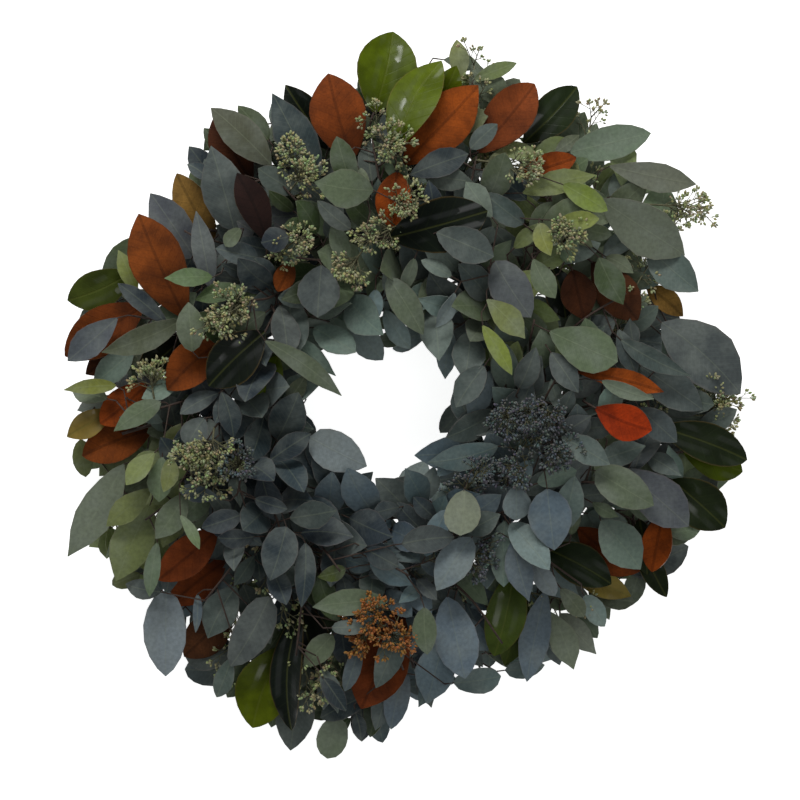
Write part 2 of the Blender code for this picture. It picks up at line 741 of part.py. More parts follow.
def make_sprig_stem(index, placed):
    """The woody stem of one magnolia sprig, tied beside its bunch."""
    owner = f"magnolia_sprig_{index + 1:02d}"
    angle = tie_angle(index)
    height = trough_bed() + SPRIG_FLAT
    tail = [polar(angle + TIED_FROM, SPRIG_RADIUS, height), polar(angle + TIED_TO, SPRIG_RADIUS, height)]
    route = [polar(angle + past, radius, z) for past, radius, z in SPRIG_ROUTE]
    mesh, points = stem_mesh(tail + route, MAGNOLIA_STEM, MAGNOLIA_TAPER, SPRIG_SIDES, owner, placed)
    return owner, [mesh], [points[BARE_SPRIG:]]


def branchlet(stalk, share, turn):
    """A side twig of a seed spray with two buds on it: its points, and its radii."""
    at = along_runs(stalk, share)
    along = (stalk[-1] - stalk[-2]).normalized()
    side = along.cross(Vector((0, 0, 1))).normalized()
    up_way = side.cross(along)
    away = side * math.cos(turn) + up_way * math.sin(turn)
    way = (along * BRANCHLET_LEAN + away).normalized()
    radii = (TWIG, BUD_RADIUS, TWIG, BUD_RADIUS)
    points = [at + way * (BRANCHLET_LENGTH * step) for step in BUD_STEPS]
    return points, radii, at + way * BRANCHLET_LENGTH


def twig_shape(points, radii, tip, grow=0.0):
    return loft(tube_rings(points, [radius + grow for radius in radii], 3), tip=tip)


def along_runs(path, share):
    """Point at a share of the way along straight runs."""
    place = share * (len(path) - 1)
    index = min(int(place), len(path) - 2)
    return path[index].lerp(path[index + 1], place - index)


def spray_shapes(owner, centre, tie, bed, placed):
    """Stalk and twigs of one spray tied in at a tie, or None where nothing clear is found."""
    radius, height = bed
    tail = [polar(tie + past, radius, height) for past in SPRAY_TAIL]
    for trial in range(TRIALS):
        draw = random.Random(f"{owner} {trial}")
        swing = draw.uniform(-KNEE_SWING, KNEE_SWING)
        out = radius + draw.uniform(-KNEE_SHIFT, KNEE_SHIFT)
        knee = polar(tie + KNEE + swing, out, draw.uniform(*KNEE_HEIGHTS))
        sway = [draw.uniform(-SPRAY_SWAY, SPRAY_SWAY) for _ in range(2)]
        path = tail + [knee, knee.lerp(centre, 0.5) + Vector((*sway, SPRAY_ARCH)), centre]
        if placed.hit(*loft(tube_rings(path, [SPRAY_STEM + CLEARANCE] * len(path), 3))):
            continue
        twigs = []
        for step in range(BRANCHLETS):
            share = BRANCHLETS_FROM + BRANCHLETS_RUN * step / (BRANCHLETS - 1)
            waver = draw.uniform(-BRANCHLET_WAVER, BRANCHLET_WAVER)
            twigs.append(branchlet(path, share, step * BRANCHLET_TURN + waver))
        if any(min(point.z for point in points) < LOWEST_TIP for points, _, _ in twigs):
            continue
        if any(placed.hit(*twig_shape(*twig, CLEARANCE)) for twig in twigs):
            continue
        radii = [SPRAY_STEM * taper for taper in SPRAY_TAPERS]
        return [loft(tube_rings(path, radii, 3))] + [twig_shape(*twig) for twig in twigs]
    return None


def make_sprays(placed):
    """Each seed cluster on its own stalk, tied in over or beside the nearest magnolia stem it can."""
    beds = (
        (SPRIG_RADIUS, trough_bed() + SPRIG_FLAT * 2 + SPRAY_STEM + CLEARANCE + SPRAY_SLACK),
        (BUNDLE_RADIUS + BUNDLE_THICKNESS + SPRAY_STEM + GAP, bundle_height()),
    )
    free = [(tie_angle(index), bed) for index in range(TIES) for bed in range(2)]
    sprays = {}
    for number, (pixel, level) in enumerate(SEED_CLUSTERS):
        owner = f"seed_spray_{number + 1:02d}"
        centre = on_plan(pixel)
        centre.z = canopy(centre) * level
        out = centre - RING_CENTRE
        angle = math.degrees(math.atan2(out.y, out.x))
        free.sort(key=lambda place: abs((place[0] + SPRAY_LEAD - angle + 180) % 360 - 180) + place[1])
        for place in free:
            shapes = spray_shapes(owner, centre, place[0], beds[place[1]], placed)
            if shapes:
                break
        free.remove(place)
        sprays[owner] = [mesh_from("spray", *shape) for shape in shapes]
        for shape in shapes:
            placed.add(*shape, owner, "stem")
    return sprays


def trial_pose(leaf, name, trial):
    """Root, tip and roll of a leaf. Later trials move it further from where it is seen."""
    root = on_plan(leaf.root)
    tip = on_plan(leaf.tip)
    draw = random.Random(f"{name} {trial}")
    reach = min(trial / TRIALS_TO_REACH, MOST_REACH)
    root.z = canopy(root) * leaf.level + draw.uniform(*ROOT_HEIGHTS) * reach
    tip.z = canopy(tip) * leaf.level + TIP_LIFT + draw.uniform(-TIP_HEIGHT, TIP_HEIGHT) * reach
    root += Vector((draw.uniform(-1, 1), draw.uniform(-1, 1), 0)) * (SIDE_SHIFT * reach)
    shift = Vector((draw.uniform(-1, 1), draw.uniform(-1, 1), 0)) * (SIDE_SHIFT * reach)
    if leaf_may_shift(leaf):
        tip += shift
    root.z = max(root.z, LOWEST_ROOT)
    tip.z = max(tip.z, LOWEST_TIP)
    roll = draw.uniform(-ROLL, ROLL) * (STILL_ROLL + reach)
    return root, tip, roll


def leaf_may_shift(leaf):
    """The leaves that end the outline keep their tips where they are seen."""
    return 72 < leaf.tip[0] < 740 and 40 < leaf.tip[1] < 750


def over_hole(points):
    """True where any point is inside the hole's clear space."""
    centre = on_plan(HOLE_PIXEL)
    return any(max(abs(point.x - centre.x), abs(point.y - centre.y)) < HOLE_HALF for point in points)


def try_leaf(kind, name, pose, owner, routes, placed, farthest=LONGEST_STALK):
    """The mesh of a leaf if it is clear of everything placed, or None."""
    root, tip, width, roll = pose
    rings, side, axis, _ = blade_rings(kind, root, tip, width, roll)
    found = nearest_on(routes, root, axis)
    if found is None or (found[1] - root).length > farthest:
        return None
    start = found[1]
    stalk = petiole_rings(kind, start, root, axis, side, kind.petiole)
    points, faces = loft(stalk + rings, tip=tip)
    if min(point.z for point in points) < TABLE_CLEARANCE or over_hole(points):
        return None
    grown, _, _, grown_tip = blade_rings(kind, root, tip, width, roll, CLEARANCE)
    blade_points, blade_faces = loft(grown, tip=grown_tip)
    if placed.hit(blade_points, blade_faces):
        return None
    grown_stalk = petiole_rings(kind, start, root, axis, side, kind.petiole, CLEARANCE) + grown[:1]
    stalk_points, stalk_faces = loft(grown_stalk)
    if placed.hit(stalk_points, stalk_faces, owner, "stem"):
        return None
    placed.add(points, faces, owner, "leaf")
    return mesh_from(name, points, faces)


def place_leaves(leaves, kind, label, nodes, placed):
    """Puts each leaf of a list on the nearest node of its plant, and leaves out one with no room."""
    for number, leaf in enumerate(leaves):
        name = f"{label} {number}"
        for trial in range(TRIALS):
            root, tip, roll = trial_pose(leaf, name, trial)
            axis = (tip - root).normalized()
            ranked = sorted(nodes, key=lambda node: nearest_on(nodes[node][1], root, axis)[0])
            owner = ranked[0] if trial % 3 < 2 else ranked[1]
            meshes, routes = nodes[owner]
            mesh = try_leaf(kind, name, (root, tip, leaf.width, roll), owner, routes, placed)
            if mesh:
                meshes.append(mesh)
                break


def pair_leaf(owner, place, route, step, hand, placed):
    """The mesh of one leaf of a pair on a stem, or None where it has no room."""
    name = f"{owner} {place} {step} {hand}"
    draw = random.Random(name)
    index = int(step * LEAF_PAIR_STEP / ROUTE_STEP)
    at = route[min(index, len(route) - 1)]
    along = (at - route[max(index - 3, 0)]).normalized()
    across = along.cross(Vector((0, 0, 1))).normalized()
    for _ in range(PAIR_TRIALS):
        open_angle = math.radians(draw.uniform(*PAIR_ANGLES))
        rise = draw.uniform(*PAIR_RISES)
        way = along * math.cos(open_angle) + across * (hand * math.sin(open_angle))
        way = (way + Vector((0, 0, rise))).normalized()
        length = draw.uniform(*LEAF_PAIR_LENGTH)
        root = at + way * PAIR_STALK
        tip = root + way * length
        pose = (root, tip, length * draw.uniform(*PAIR_WIDTHS), draw.uniform(-PAIR_ROLL, PAIR_ROLL))
        if tip.z > canopy(tip) + OVER_CANOPY:
            continue
        mesh = try_leaf(SMALL, name, pose, owner, [route], placed, PAIR_FARTHEST)
        if mesh:
            return mesh
    return None


def fill_stems(nodes, placed):
    """Pairs of leaves along every stem from the hole outwards, up to a few for each bunch."""
    for owner, (meshes, routes) in nodes.items():
        most = len(meshes) + FILL_LEAVES
        for place, route in reversed(list(enumerate(routes))):
            steps = int(len(route) * ROUTE_STEP / LEAF_PAIR_STEP)
            for step in range(1, steps + 1):
                for hand in (-1, 1):
                    full = len(meshes) == most
                    mesh = None if full else pair_leaf(owner, place, route, step, hand, placed)
                    if mesh:
                        meshes.append(mesh)


def main():
    for obj in list(bpy.data.objects):
        bpy.data.objects.remove(obj)
    steel = principled("galvanised_steel", (0.30, 0.31, 0.30), 0.45, 0.9)
    green_wire = principled("green_wire", (0.03, 0.09, 0.04), 0.4, 0.3)
    leaf_green = principled("eucalyptus_leaf", (0.13, 0.19, 0.17), 0.7)
    magnolia_leaf = principled("magnolia_leaf", (0.30, 0.08, 0.03), 0.5)
    bud_green = principled("seed_bud", (0.25, 0.28, 0.14), 0.6)
    placed = Placed()
    make_frame(steel, placed)
    make_paddle_wire(green_wire, placed)
    bunches = {}
    sprigs = {}
    for index in range(TIES):
        owner, meshes, routes = make_bunch_stems(index, placed)
        bunches[owner] = (meshes, routes)
        owner, meshes, routes = make_sprig_stem(index, placed)
        sprigs[owner] = (meshes, routes)
    sprays = make_sprays(placed)
    place_leaves(RUST_LEAVES, MAGNOLIA, "rust", sprigs, placed)
    place_leaves(GREEN_LEAVES, MAGNOLIA, "green", sprigs, placed)
    place_leaves(CLEAR_LEAVES, EUCALYPTUS, "clear", bunches, placed)
    place_leaves(ROUND_LEAVES, SILVER_DOLLAR, "round", bunches, placed)
    fill_stems(bunches, placed)
    for name, meshes in sprays.items():
        union(name, meshes, bud_green)
    for name, (meshes, _) in bunches.items():
        union(name, meshes, leaf_green)
    for name, (meshes, _) in sprigs.items():
        union(name, meshes, magnolia_leaf)


main()
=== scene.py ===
"""Looks of the eucalyptus and magnolia wreath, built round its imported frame.

The wreath lies on its back with its face up. Units are metres. Every leaf of the frame gets a fine leaf with
the same root, tip, width and roll, on stems along the same routes, and smaller leaves fill in between them.
"""

import functools
import json
import math
import random
from collections import namedtuple

import bmesh
import bpy
import numpy as np
from mathutils import Matrix, Vector
from mathutils.bvhtree import BVHTree
from mathutils.kdtree import KDTree

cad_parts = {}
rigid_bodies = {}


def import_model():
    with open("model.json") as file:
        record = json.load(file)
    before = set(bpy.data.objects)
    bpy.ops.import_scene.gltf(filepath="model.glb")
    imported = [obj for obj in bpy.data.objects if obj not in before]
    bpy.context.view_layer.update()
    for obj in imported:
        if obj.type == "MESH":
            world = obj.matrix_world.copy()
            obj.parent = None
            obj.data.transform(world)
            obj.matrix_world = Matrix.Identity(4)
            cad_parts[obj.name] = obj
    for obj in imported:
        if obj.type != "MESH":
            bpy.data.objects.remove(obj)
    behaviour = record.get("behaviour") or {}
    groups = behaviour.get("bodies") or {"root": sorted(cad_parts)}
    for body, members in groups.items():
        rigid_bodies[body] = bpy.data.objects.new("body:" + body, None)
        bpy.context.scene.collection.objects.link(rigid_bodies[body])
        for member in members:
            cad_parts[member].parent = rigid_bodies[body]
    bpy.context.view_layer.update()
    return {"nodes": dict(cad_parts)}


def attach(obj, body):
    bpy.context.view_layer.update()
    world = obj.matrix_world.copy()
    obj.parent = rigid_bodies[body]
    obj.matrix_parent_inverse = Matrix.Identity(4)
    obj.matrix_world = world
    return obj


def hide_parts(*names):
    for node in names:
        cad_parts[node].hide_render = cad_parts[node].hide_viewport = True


bl_info = {
    "name": "Eucalyptus Wreath",
    "version": (1, 0, 0),
    "blender": (4, 5, 0),
    "location": "3D View > Sidebar > Wreath",
    "description": "Builds a wreath of seeded eucalyptus and magnolia leaves on a wire frame",
    "category": "Add Mesh",
}

for startup in list(bpy.data.objects):
    bpy.data.objects.remove(startup)
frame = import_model()

# Plan of the wreath. Leaves are given by the pixels of the photograph where their tips and roots are seen.
PIXEL = 0.606 / 730
ORIGIN_PIXEL = (407.5, 395)
RING_PIXEL = (385, 405)
TIES = 16
TIE_STEP = 360 / TIES
FIRST_TIE = 33.75

# Wire frame and paddle wire, as in the solids.
RAISED_RINGS = (0.1050, 0.1520)
LOW_RINGS = (0.1220, 0.1380)
RAISED_HEIGHT = 0.0260
FRAME_WIRE = 0.0016
WIRE_FLAT = FRAME_WIRE * math.cos(math.pi / 4)
LOW_HEIGHT = WIRE_FLAT * 3 - 0.0005
LOW_RING_WIRE = 0.00144
CROSS_WIRE = 0.00156
CROSS_WIRES = 6
FIRST_CROSS_WIRE = 22.5
PADDLE_WIRE = 0.0006
TURN_ANGLE = 2.2
GAP = 0.00035

# Stems.
BED = WIRE_FLAT * 4 - 0.0005 + GAP
BUNDLE_HEIGHT = BED + 0.0038 * math.cos(math.pi / 6)
BUNDLE_RADIUS = 0.1240
SPRIG_RADIUS = 0.1385
EUCALYPTUS_STEM = 0.0017
MAGNOLIA_STEM = 0.0021
SPRIG_FLAT = 0.0022 * math.cos(math.pi / 4)
SPRAY_STEM = 0.0010
BRANCHLET_LENGTH = 0.0190
TRIALS = 90
FILL_TRIALS = 14

# Spacing of the points along a stem, and how many of them lie in the tie of a bunch and of a sprig.
ROUTE_STEP = 0.004
IN_BUNCH_TIE = 5
IN_SPRIG_TIE = 8

# How close a corner of the solids lies to the leaf tip it belongs to.
TIP_SEARCH = 0.00015

# Tips past these pixels are on the wreath's outline and keep their place: left, right, top and bottom.
STEADY_TIPS = (72, 740, 40, 750)

# Fill between the listed leaves: how many layers each pass wants, and the share of a leaf that must add to
# them. Then the tries of the two later passes, the layers that count as full there, and the least share.
FILL_PASSES = (
    (1, 0.55), (1, 0.42), (1, 0.30), (1, 0.22), (1, 0.16), (2, 0.55), (2, 0.40), (3, 0.5), (4, 0.6),
)
GAP_TRIES = 2600
BODY_TRIES = 900
BODY_LAYERS = 16
LEAST_GAIN = 0.06

# A filler's limits: the share of it over listed leaves, its ends' share of the outline and of the foliage's
# height, the least heights of its tip and root, and how far its stem may be.
MOST_OVER = 0.06
OUTLINE_SHARE = 0.97
HEIGHT_SHARE = 0.94
LOWEST_TIP = 0.006
LOWEST_ROOT = 0.008
STEM_REACH = 0.060

# The map of the table: its half width, the width of a cell, the degrees of a sector of the ring, the share of
# the outline where no table should show, and the length seen from above under which a leaf covers no cell.
TABLE_HALF = 0.330
CELL = 0.0012
SECTOR = 5
BARE_SHARE = 0.90
SHORTEST = 0.004

# Stems of a bunch and of a sprig: degrees past the tie, distance from the ring's axis and height.
STEM_ROUTES = {
    "outer_low": ((6.5, 0.1500, 0.0350), (8.5, 0.1980, 0.0400), (9.5, 0.2420, 0.0300)),
    "outer_high": ((7.0, 0.1420, 0.0520), (12.0, 0.1780, 0.0780), (14.5, 0.2200, 0.0720)),
    "crown": ((7.5, 0.1270, 0.0560), (13.0, 0.1310, 0.0860), (19.0, 0.1420, 0.0960)),
    "inner": ((6.5, 0.1130, 0.0440), (10.5, 0.1010, 0.0620), (14.0, 0.0880, 0.0580)),
}
SPRIG_ROUTE = ((9.0, 0.1385, 0.0185), (12.0, 0.1460, 0.0330), (15.5, 0.1850, 0.0460), (17.5, 0.2200, 0.0440))
LEAF_PAIR_STEP = 0.0210
LEAF_PAIR_LENGTH = (0.044, 0.062)
TWIG = 0.0008
GREEN_WOOD = "#5C5A40"

# Shape of a blade: skew and fullness of its outline, how far it arches, how its halves fold up, how much its
# edge ripples, its stalk's radius, and the faces across and along it.
Form = namedtuple("Form", "skew fullness bow fold ripple stalk across along")
EUCALYPTUS = Form(0.85, 0.75, 0.07, 0.07, 0.05, 0.0006, 4, 7)
SILVER_DOLLAR = Form(1.0, 0.52, 0.04, 0.05, 0.04, 0.0006, 4, 7)
MAGNOLIA = Form(1.05, 0.68, 0.09, 0.16, 0.06, 0.0012, 6, 12)

# Rows of the tables: the pixels of tip and root, the width, the height as a share of the foliage's, the tone.
Leaf = namedtuple("Leaf", "tip root width level tone")
Blade = namedtuple("Blade", "form start root tip width roll tone rust listed")
Bud = namedtuple("Bud", "at way reach length width tone")

RUST_LEAVES = (
    ((328, 73), (352, 160), 0.047, 0.50, "rust"), ((478, 86), (404, 165), 0.044, 0.62, "flame"),
    ((535, 83), (478, 152), 0.040, 0.48, "russet"), ((576, 158), (520, 176), 0.022, 0.62, "flame"),
    ((214, 116), (252, 182), 0.034, 0.46, "brown"), ((238, 174), (268, 243), 0.027, 0.80, "maroon"),
    ((176, 172), (214, 240), 0.030, 0.30, "amber"), ((139, 214), (186, 318), 0.046, 0.62, "rust"),
    ((64, 356), (142, 306), 0.040, 0.40, "rust"), ((84, 374), (124, 345), 0.022, 0.20, "brown"),
    ((168, 390), (226, 338), 0.036, 0.66, "rust"), ((100, 424), (146, 384), 0.030, 0.44, "flame"),
    ((81, 456), (150, 430), 0.035, 0.30, "rust"), ((158, 580), (217, 530), 0.032, 0.52, "russet"),
    ((170, 606), (225, 562), 0.032, 0.34, "russet"), ((183, 658), (232, 612), 0.034, 0.24, "brown"),
    ((278, 292), (292, 262), 0.018, 0.72, "rust"), ((361, 709), (402, 612), 0.047, 0.50, "russet"),
    ((584, 320), (572, 270), 0.030, 0.60, "brown"), ((638, 320), (592, 262), 0.036, 0.50, "brown"),
    ((684, 316), (648, 286), 0.020, 0.26, "amber"), ((662, 392), (576, 372), 0.018, 0.86, "flame"),
    ((650, 430), (594, 408), 0.031, 0.90, "ember"), ((640, 572), (578, 528), 0.034, 0.42, "rust"),
    ((392, 228), (396, 172), 0.030, 0.74, "flame"), ((652, 572), (664, 512), 0.026, 0.52, "flame"),
)

GREEN_LEAVES = (
    ((393, 30), (374, 112), 0.050, 0.44, "olive"), ((442, 61), (392, 154), 0.043, 0.70, "olive"),
    ((452, 66), (424, 120), 0.030, 0.36, "olive"), ((284, 83), (334, 150), 0.030, 0.30, "bottle"),
    ((578, 85), (524, 142), 0.034, 0.36, "forest"), ((486, 212), (388, 240), 0.046, 0.86, "bottle"),
    ((66, 300), (130, 272), 0.034, 0.30, "moss"), ((210, 386), (266, 332), 0.040, 0.84, "bottle"),
    ((137, 372), (186, 334), 0.030, 0.42, "bottle"), ((66, 437), (112, 410), 0.022, 0.38, "gold"),
    ((252, 729), (283, 646), 0.046, 0.40, "olive"), ((292, 728), (306, 612), 0.030, 0.56, "bottle"),
    ((494, 656), (514, 570), 0.034, 0.52, "moss"), ((503, 668), (526, 596), 0.026, 0.34, "moss"),
    ((612, 584), (545, 548), 0.034, 0.44, "forest"), ((632, 597), (566, 570), 0.022, 0.28, "gold"),
    ((726, 528), (672, 480), 0.040, 0.50, "forest"), ((748, 460), (662, 428), 0.033, 0.54, "forest"),
    ((566, 318), (548, 262), 0.030, 0.58, "bottle"),
)

CLEAR_LEAVES = (
    ((268, 93), (318, 188), 0.036, 0.62, "dusk"), ((211, 108), (272, 166), 0.030, 0.66, "taupe"),
    ((211, 146), (235, 232), 0.038, 0.60, "slate"), ((150, 193), (198, 262), 0.032, 0.50, "lilac"),
    ((197, 212), (212, 290), 0.020, 0.74, "lilac"), ((166, 279), (214, 278), 0.016, 0.84, "mint"),
    ((119, 284), (168, 324), 0.016, 0.76, "dusk"), ((68, 361), (118, 318), 0.026, 0.62, "lilac"),
    ((94, 384), (134, 350), 0.024, 0.50, "teal"), ((103, 352), (183, 318), 0.023, 0.72, "sage"),
    ((190, 303), (194, 352), 0.024, 0.88, "sage"), ((64, 390), (118, 388), 0.013, 0.58, "lime"),
    ((115, 431), (162, 402), 0.019, 0.72, "sage"), ((67, 557), (124, 464), 0.032, 0.50, "dusty"),
    ((107, 526), (152, 488), 0.022, 0.68, "celery"), ((116, 581), (150, 505), 0.036, 0.54, "celery"),
    ((157, 538), (186, 494), 0.024, 0.78, "sage"), ((150, 596), (158, 542), 0.014, 0.70, "sage"),
    ((201, 548), (182, 514), 0.010, 0.90, "mint"), ((203, 527), (242, 514), 0.020, 0.84, "dusk"),
    ((165, 677), (166, 590), 0.037, 0.46, "frost"), ((196, 632), (198, 594), 0.008, 0.62, "blue"),
    ((208, 638), (236, 586), 0.030, 0.56, "slate"), ((231, 666), (270, 596), 0.032, 0.62, "slate"),
    ((272, 579), (286, 526), 0.031, 0.82, "dusk"), ((302, 606), (306, 542), 0.018, 0.80, "dusk"),
    ((290, 752), (300, 690), 0.033, 0.36, "slate"), ((304, 667), (333, 634), 0.021, 0.62, "sage"),
    ((345, 691), (360, 640), 0.014, 0.62, "blue"), ((376, 687), (398, 628), 0.023, 0.72, "slate"),
    ((391, 730), (406, 672), 0.021, 0.44, "lavender"), ((313, 606), (388, 600), 0.023, 0.74, "sage"),
    ((427, 704), (446, 634), 0.034, 0.50, "lavender"), ((465, 678), (447, 596), 0.037, 0.66, "lavender"),
    ((427, 653), (424, 606), 0.021, 0.82, "sage"), ((436, 590), (470, 536), 0.030, 0.84, "ice"),
    ((503, 586), (504, 520), 0.022, 0.74, "teal"), ((528, 601), (512, 540), 0.024, 0.80, "blue"),
    ((527, 682), (546, 590), 0.026, 0.46, "lavender"), ((574, 670), (550, 612), 0.025, 0.46, "dusty"),
    ((597, 655), (560, 614), 0.022, 0.36, "dusty"), ((553, 549), (546, 488), 0.037, 0.92, "blue"),
    ((640, 569), (600, 520), 0.036, 0.66, "teal"), ((688, 526), (622, 468), 0.039, 0.74, "lilac"),
    ((652, 505), (594, 470), 0.032, 0.88, "sage"), ((608, 464), (560, 436), 0.023, 0.96, "teal"),
    ((676, 442), (638, 408), 0.024, 0.72, "slate"), ((703, 410), (640, 366), 0.032, 0.54, "slate"),
    ((741, 394), (662, 322), 0.052, 0.46, "slate"), ((690, 376), (620, 340), 0.018, 0.70, "slate"),
    ((652, 397), (604, 374), 0.014, 0.78, "pale"), ((697, 293), (648, 250), 0.032, 0.46, "teal"),
    ((684, 255), (600, 200), 0.044, 0.64, "dusty"), ((697, 183), (610, 166), 0.025, 0.54, "dusty"),
    ((652, 132), (570, 152), 0.029, 0.48, "pale"), ((517, 62), (474, 79), 0.013, 0.50, "celery"),
    ((457, 38), (459, 80), 0.017, 0.40, "celery"), ((622, 305), (598, 258), 0.025, 0.78, "fern"),
    ((606, 212), (562, 186), 0.019, 0.90, "lime"), ((598, 220), (556, 222), 0.016, 0.94, "lime"),
    ((596, 176), (522, 194), 0.021, 0.78, "celery"), ((548, 258), (538, 224), 0.017, 0.96, "lime"),
    ((554, 299), (532, 260), 0.020, 0.90, "sage"), ((530, 318), (494, 262), 0.034, 0.84, "lilac"),
    ((524, 339), (486, 300), 0.023, 0.92, "celery"), ((511, 375), (482, 326), 0.015, 0.94, "lime"),
    ((445, 379), (452, 332), 0.017, 0.62, "ice"), ((423, 335), (388, 278), 0.024, 0.88, "sage"),
    ((410, 349), (384, 310), 0.018, 0.60, "ice"), ((383, 360), (352, 322), 0.024, 0.56, "ice"),
    ((345, 353), (332, 318), 0.022, 0.52, "teal"), ((343, 395), (266, 342), 0.018, 0.90, "sage"),
    ((336, 376), (286, 336), 0.018, 0.66, "teal"), ((367, 466), (310, 437), 0.034, 0.80, "frost"),
    ((428, 462), (498, 446), 0.023, 0.78, "blue"), ((493, 258), (436, 234), 0.030, 0.96, "slate"),
    ((468, 155), (410, 176), 0.024, 0.76, "dusk"), ((315, 184), (374, 192), 0.034, 0.92, "sage"),
    ((337, 138), (354, 192), 0.022, 0.84, "fern"), ((318, 318), (322, 266), 0.036, 0.86, "slate"),
    ((497, 125), (470, 150), 0.016, 0.74, "slate"),
)

ROUND_LEAVES = (
    ((327, 760), (338, 718), 0.026, 0.40, "pale"), ((189, 446), (206, 418), 0.023, 0.92, "slate"),
    ((264, 244), (290, 236), 0.022, 0.92, "dusk"), ((460, 534), (464, 490), 0.031, 0.96, "pale"),
    ((514, 519), (516, 484), 0.026, 0.92, "ice"), ((616, 362), (548, 332), 0.038, 0.92, "sage"),
    ((228, 250), (240, 230), 0.013, 0.94, "sage"),
)

# Leaves with no room among the solids, tucked in here.
TUCKED_MAGNOLIA = (
    ((251, 417), (278, 356), 0.026, 0.62, "olive"), ((648, 575), (640, 520), 0.022, 0.36, "forest"),
    ((744, 472), (684, 452), 0.030, 0.40, "olive"), ((318, 672), (298, 602), 0.036, 0.40, "bottle"),
    ((668, 598), (640, 540), 0.020, 0.26, "forest"),
)
TUCKED_EUCALYPTUS = (
    ((118, 250), (136, 294), 0.016, 0.46, "lime"), ((318, 576), (346, 568), 0.014, 0.78, "moss"),
    ((300, 690), (316, 640), 0.024, 0.30, "slate"), ((652, 399), (600, 381), 0.013, 0.93, "pale"),
)

# Seed clusters: the middle of each, its height as a share of the foliage's and its tone. First the sprays.
SEED_SPRAYS = (
    ((290, 152), 0.72, "seed"), ((374, 122), 0.70, "seed"),
    ((372, 240), 0.98, "seed"), ((300, 238), 0.96, "seed"),
    ((236, 306), 0.92, "seed"), ((474, 64), 0.46, "seed"),
    ((592, 116), 0.36, "seed"), ((678, 216), 0.52, "seed"),
    ((704, 392), 0.42, "seed"), ((532, 436), 0.98, "seed_dark"),
    ((478, 470), 0.94, "seed_dark"), ((480, 546), 0.74, "seed_dark"),
    ((574, 602), 0.36, "seed"), ((206, 486), 0.88, "seed"),
    ((230, 672), 0.30, "seed"), ((312, 690), 0.62, "seed"),
)

# Tufts on the stems of the eucalyptus.
SEED_TUFTS = (
    ((402, 204), 0.97, "seed"), ((354, 264), 0.95, "seed"),
    ((386, 146), 0.82, "seed"), ((302, 178), 0.88, "seed"),
    ((222, 320), 0.94, "seed"), ((152, 380), 0.72, "seed"),
    ((506, 418), 0.97, "seed_dark"), ((554, 452), 0.97, "seed_dark"),
    ((520, 470), 0.96, "seed_dark"), ((548, 414), 0.97, "seed_dark"),
    ((528, 412), 0.99, "seed_dark"), ((698, 206), 0.50, "seed"),
    ((724, 398), 0.40, "seed"), ((716, 416), 0.38, "seed"),
    ((214, 444), 0.94, "seed"), ((192, 462), 0.95, "seed"),
    ((240, 464), 0.95, "seed_dark"), ((560, 234), 0.95, "seed"),
    ((522, 168), 0.84, "seed"), ((378, 612), 0.78, "gold_seed"),
    ((392, 634), 0.76, "gold_seed"), ((366, 632), 0.74, "gold_seed"),
    ((330, 684), 0.60, "seed"), ((468, 556), 0.80, "seed_dark"),
)

# Outline of the hole, as pixels.
HOLE = (
    (322, 340), (345, 354), (385, 362), (398, 342), (410, 352), (446, 334),
    (452, 352), (459, 378), (443, 408), (434, 412), (434, 440), (428, 456),
    (400, 474), (384, 482), (368, 466), (338, 448), (318, 434), (308, 404),
)

# Leaf colours of a part of the wreath: the pixel at its middle and the tones found there.
REGIONS = (
    ((300, 150), ("slate", "fern", "sage", "slate")), ((200, 230), ("lilac", "dusk", "slate", "fern")),
    ((110, 350), ("teal", "sage", "lilac")), ((200, 360), ("dusk", "slate", "fern")),
    ((130, 500), ("celery", "celery", "sage")), ((220, 460), ("dusk", "slate", "dusk")),
    ((200, 600), ("blue", "slate", "slate")), ((270, 540), ("dusk", "slate", "dusk")),
    ((290, 660), ("slate", "fern", "dusk")), ((400, 530), ("dusk", "slate", "blue")),
    ((450, 440), ("blue", "ice", "slate")), ((440, 640), ("slate", "blue", "lavender")),
    ((540, 620), ("ice", "sage", "ice")), ((520, 520), ("slate", "blue", "teal")),
    ((620, 500), ("slate", "teal", "sage")), ((560, 400), ("slate", "teal", "slate")),
    ((680, 370), ("slate", "slate", "teal")), ((660, 240), ("sage", "teal", "sage")),
    ((560, 180), ("sage", "celery", "sage")), ((520, 280), ("sage", "celery", "teal")),
    ((440, 220), ("slate", "dusk", "teal")), ((360, 280), ("sage", "teal", "sage")),
    ((390, 335), ("teal", "ice", "sage")), ((250, 280), ("slate", "dusk", "fern")),
)

SHEET_NORMAL = Vector((0, 0, 1))


def linear(code, alpha=1.0):
    """An sRGB hex colour as linear values."""
    shares = [int(code[place : place + 2], 16) / 255 for place in (1, 3, 5)]
    turned = [share / 12.92 if share <= 0.04045 else ((share + 0.055) / 1.055) ** 2.4 for share in shares]
    return (*turned, alpha)


def colour(name, code, description):
    return bpy.props.FloatVectorProperty(
        name=name, description=description, default=linear(code), size=4, subtype="COLOR", min=0, max=1
    )


def length(name, value, description):
    return bpy.props.FloatProperty(
        name=name, description=description, default=value, min=0, subtype="DISTANCE", unit="LENGTH",
        precision=5,
    )


class WreathSizes(bpy.types.PropertyGroup):
    eucalyptus_thickness: length("Eucalyptus leaf", 0.0004, "Thickness of a eucalyptus leaf")
    magnolia_thickness: length("Magnolia leaf", 0.0006, "Thickness of a magnolia leaf")
    bud_length: length("Bud length", 0.0036, "Length of a seed bud with its beak")
    bud_width: length("Bud width", 0.0025, "Width of a seed bud at its middle")
    filler_leaves: bpy.props.IntProperty(
        name="Filler leaves",
        description="Most eucalyptus leaves that fill in between the main ones",
        default=1400,
        min=0,
    )
    camera_distance: length("Camera distance", 6.0, "Height of the camera above the foliage")


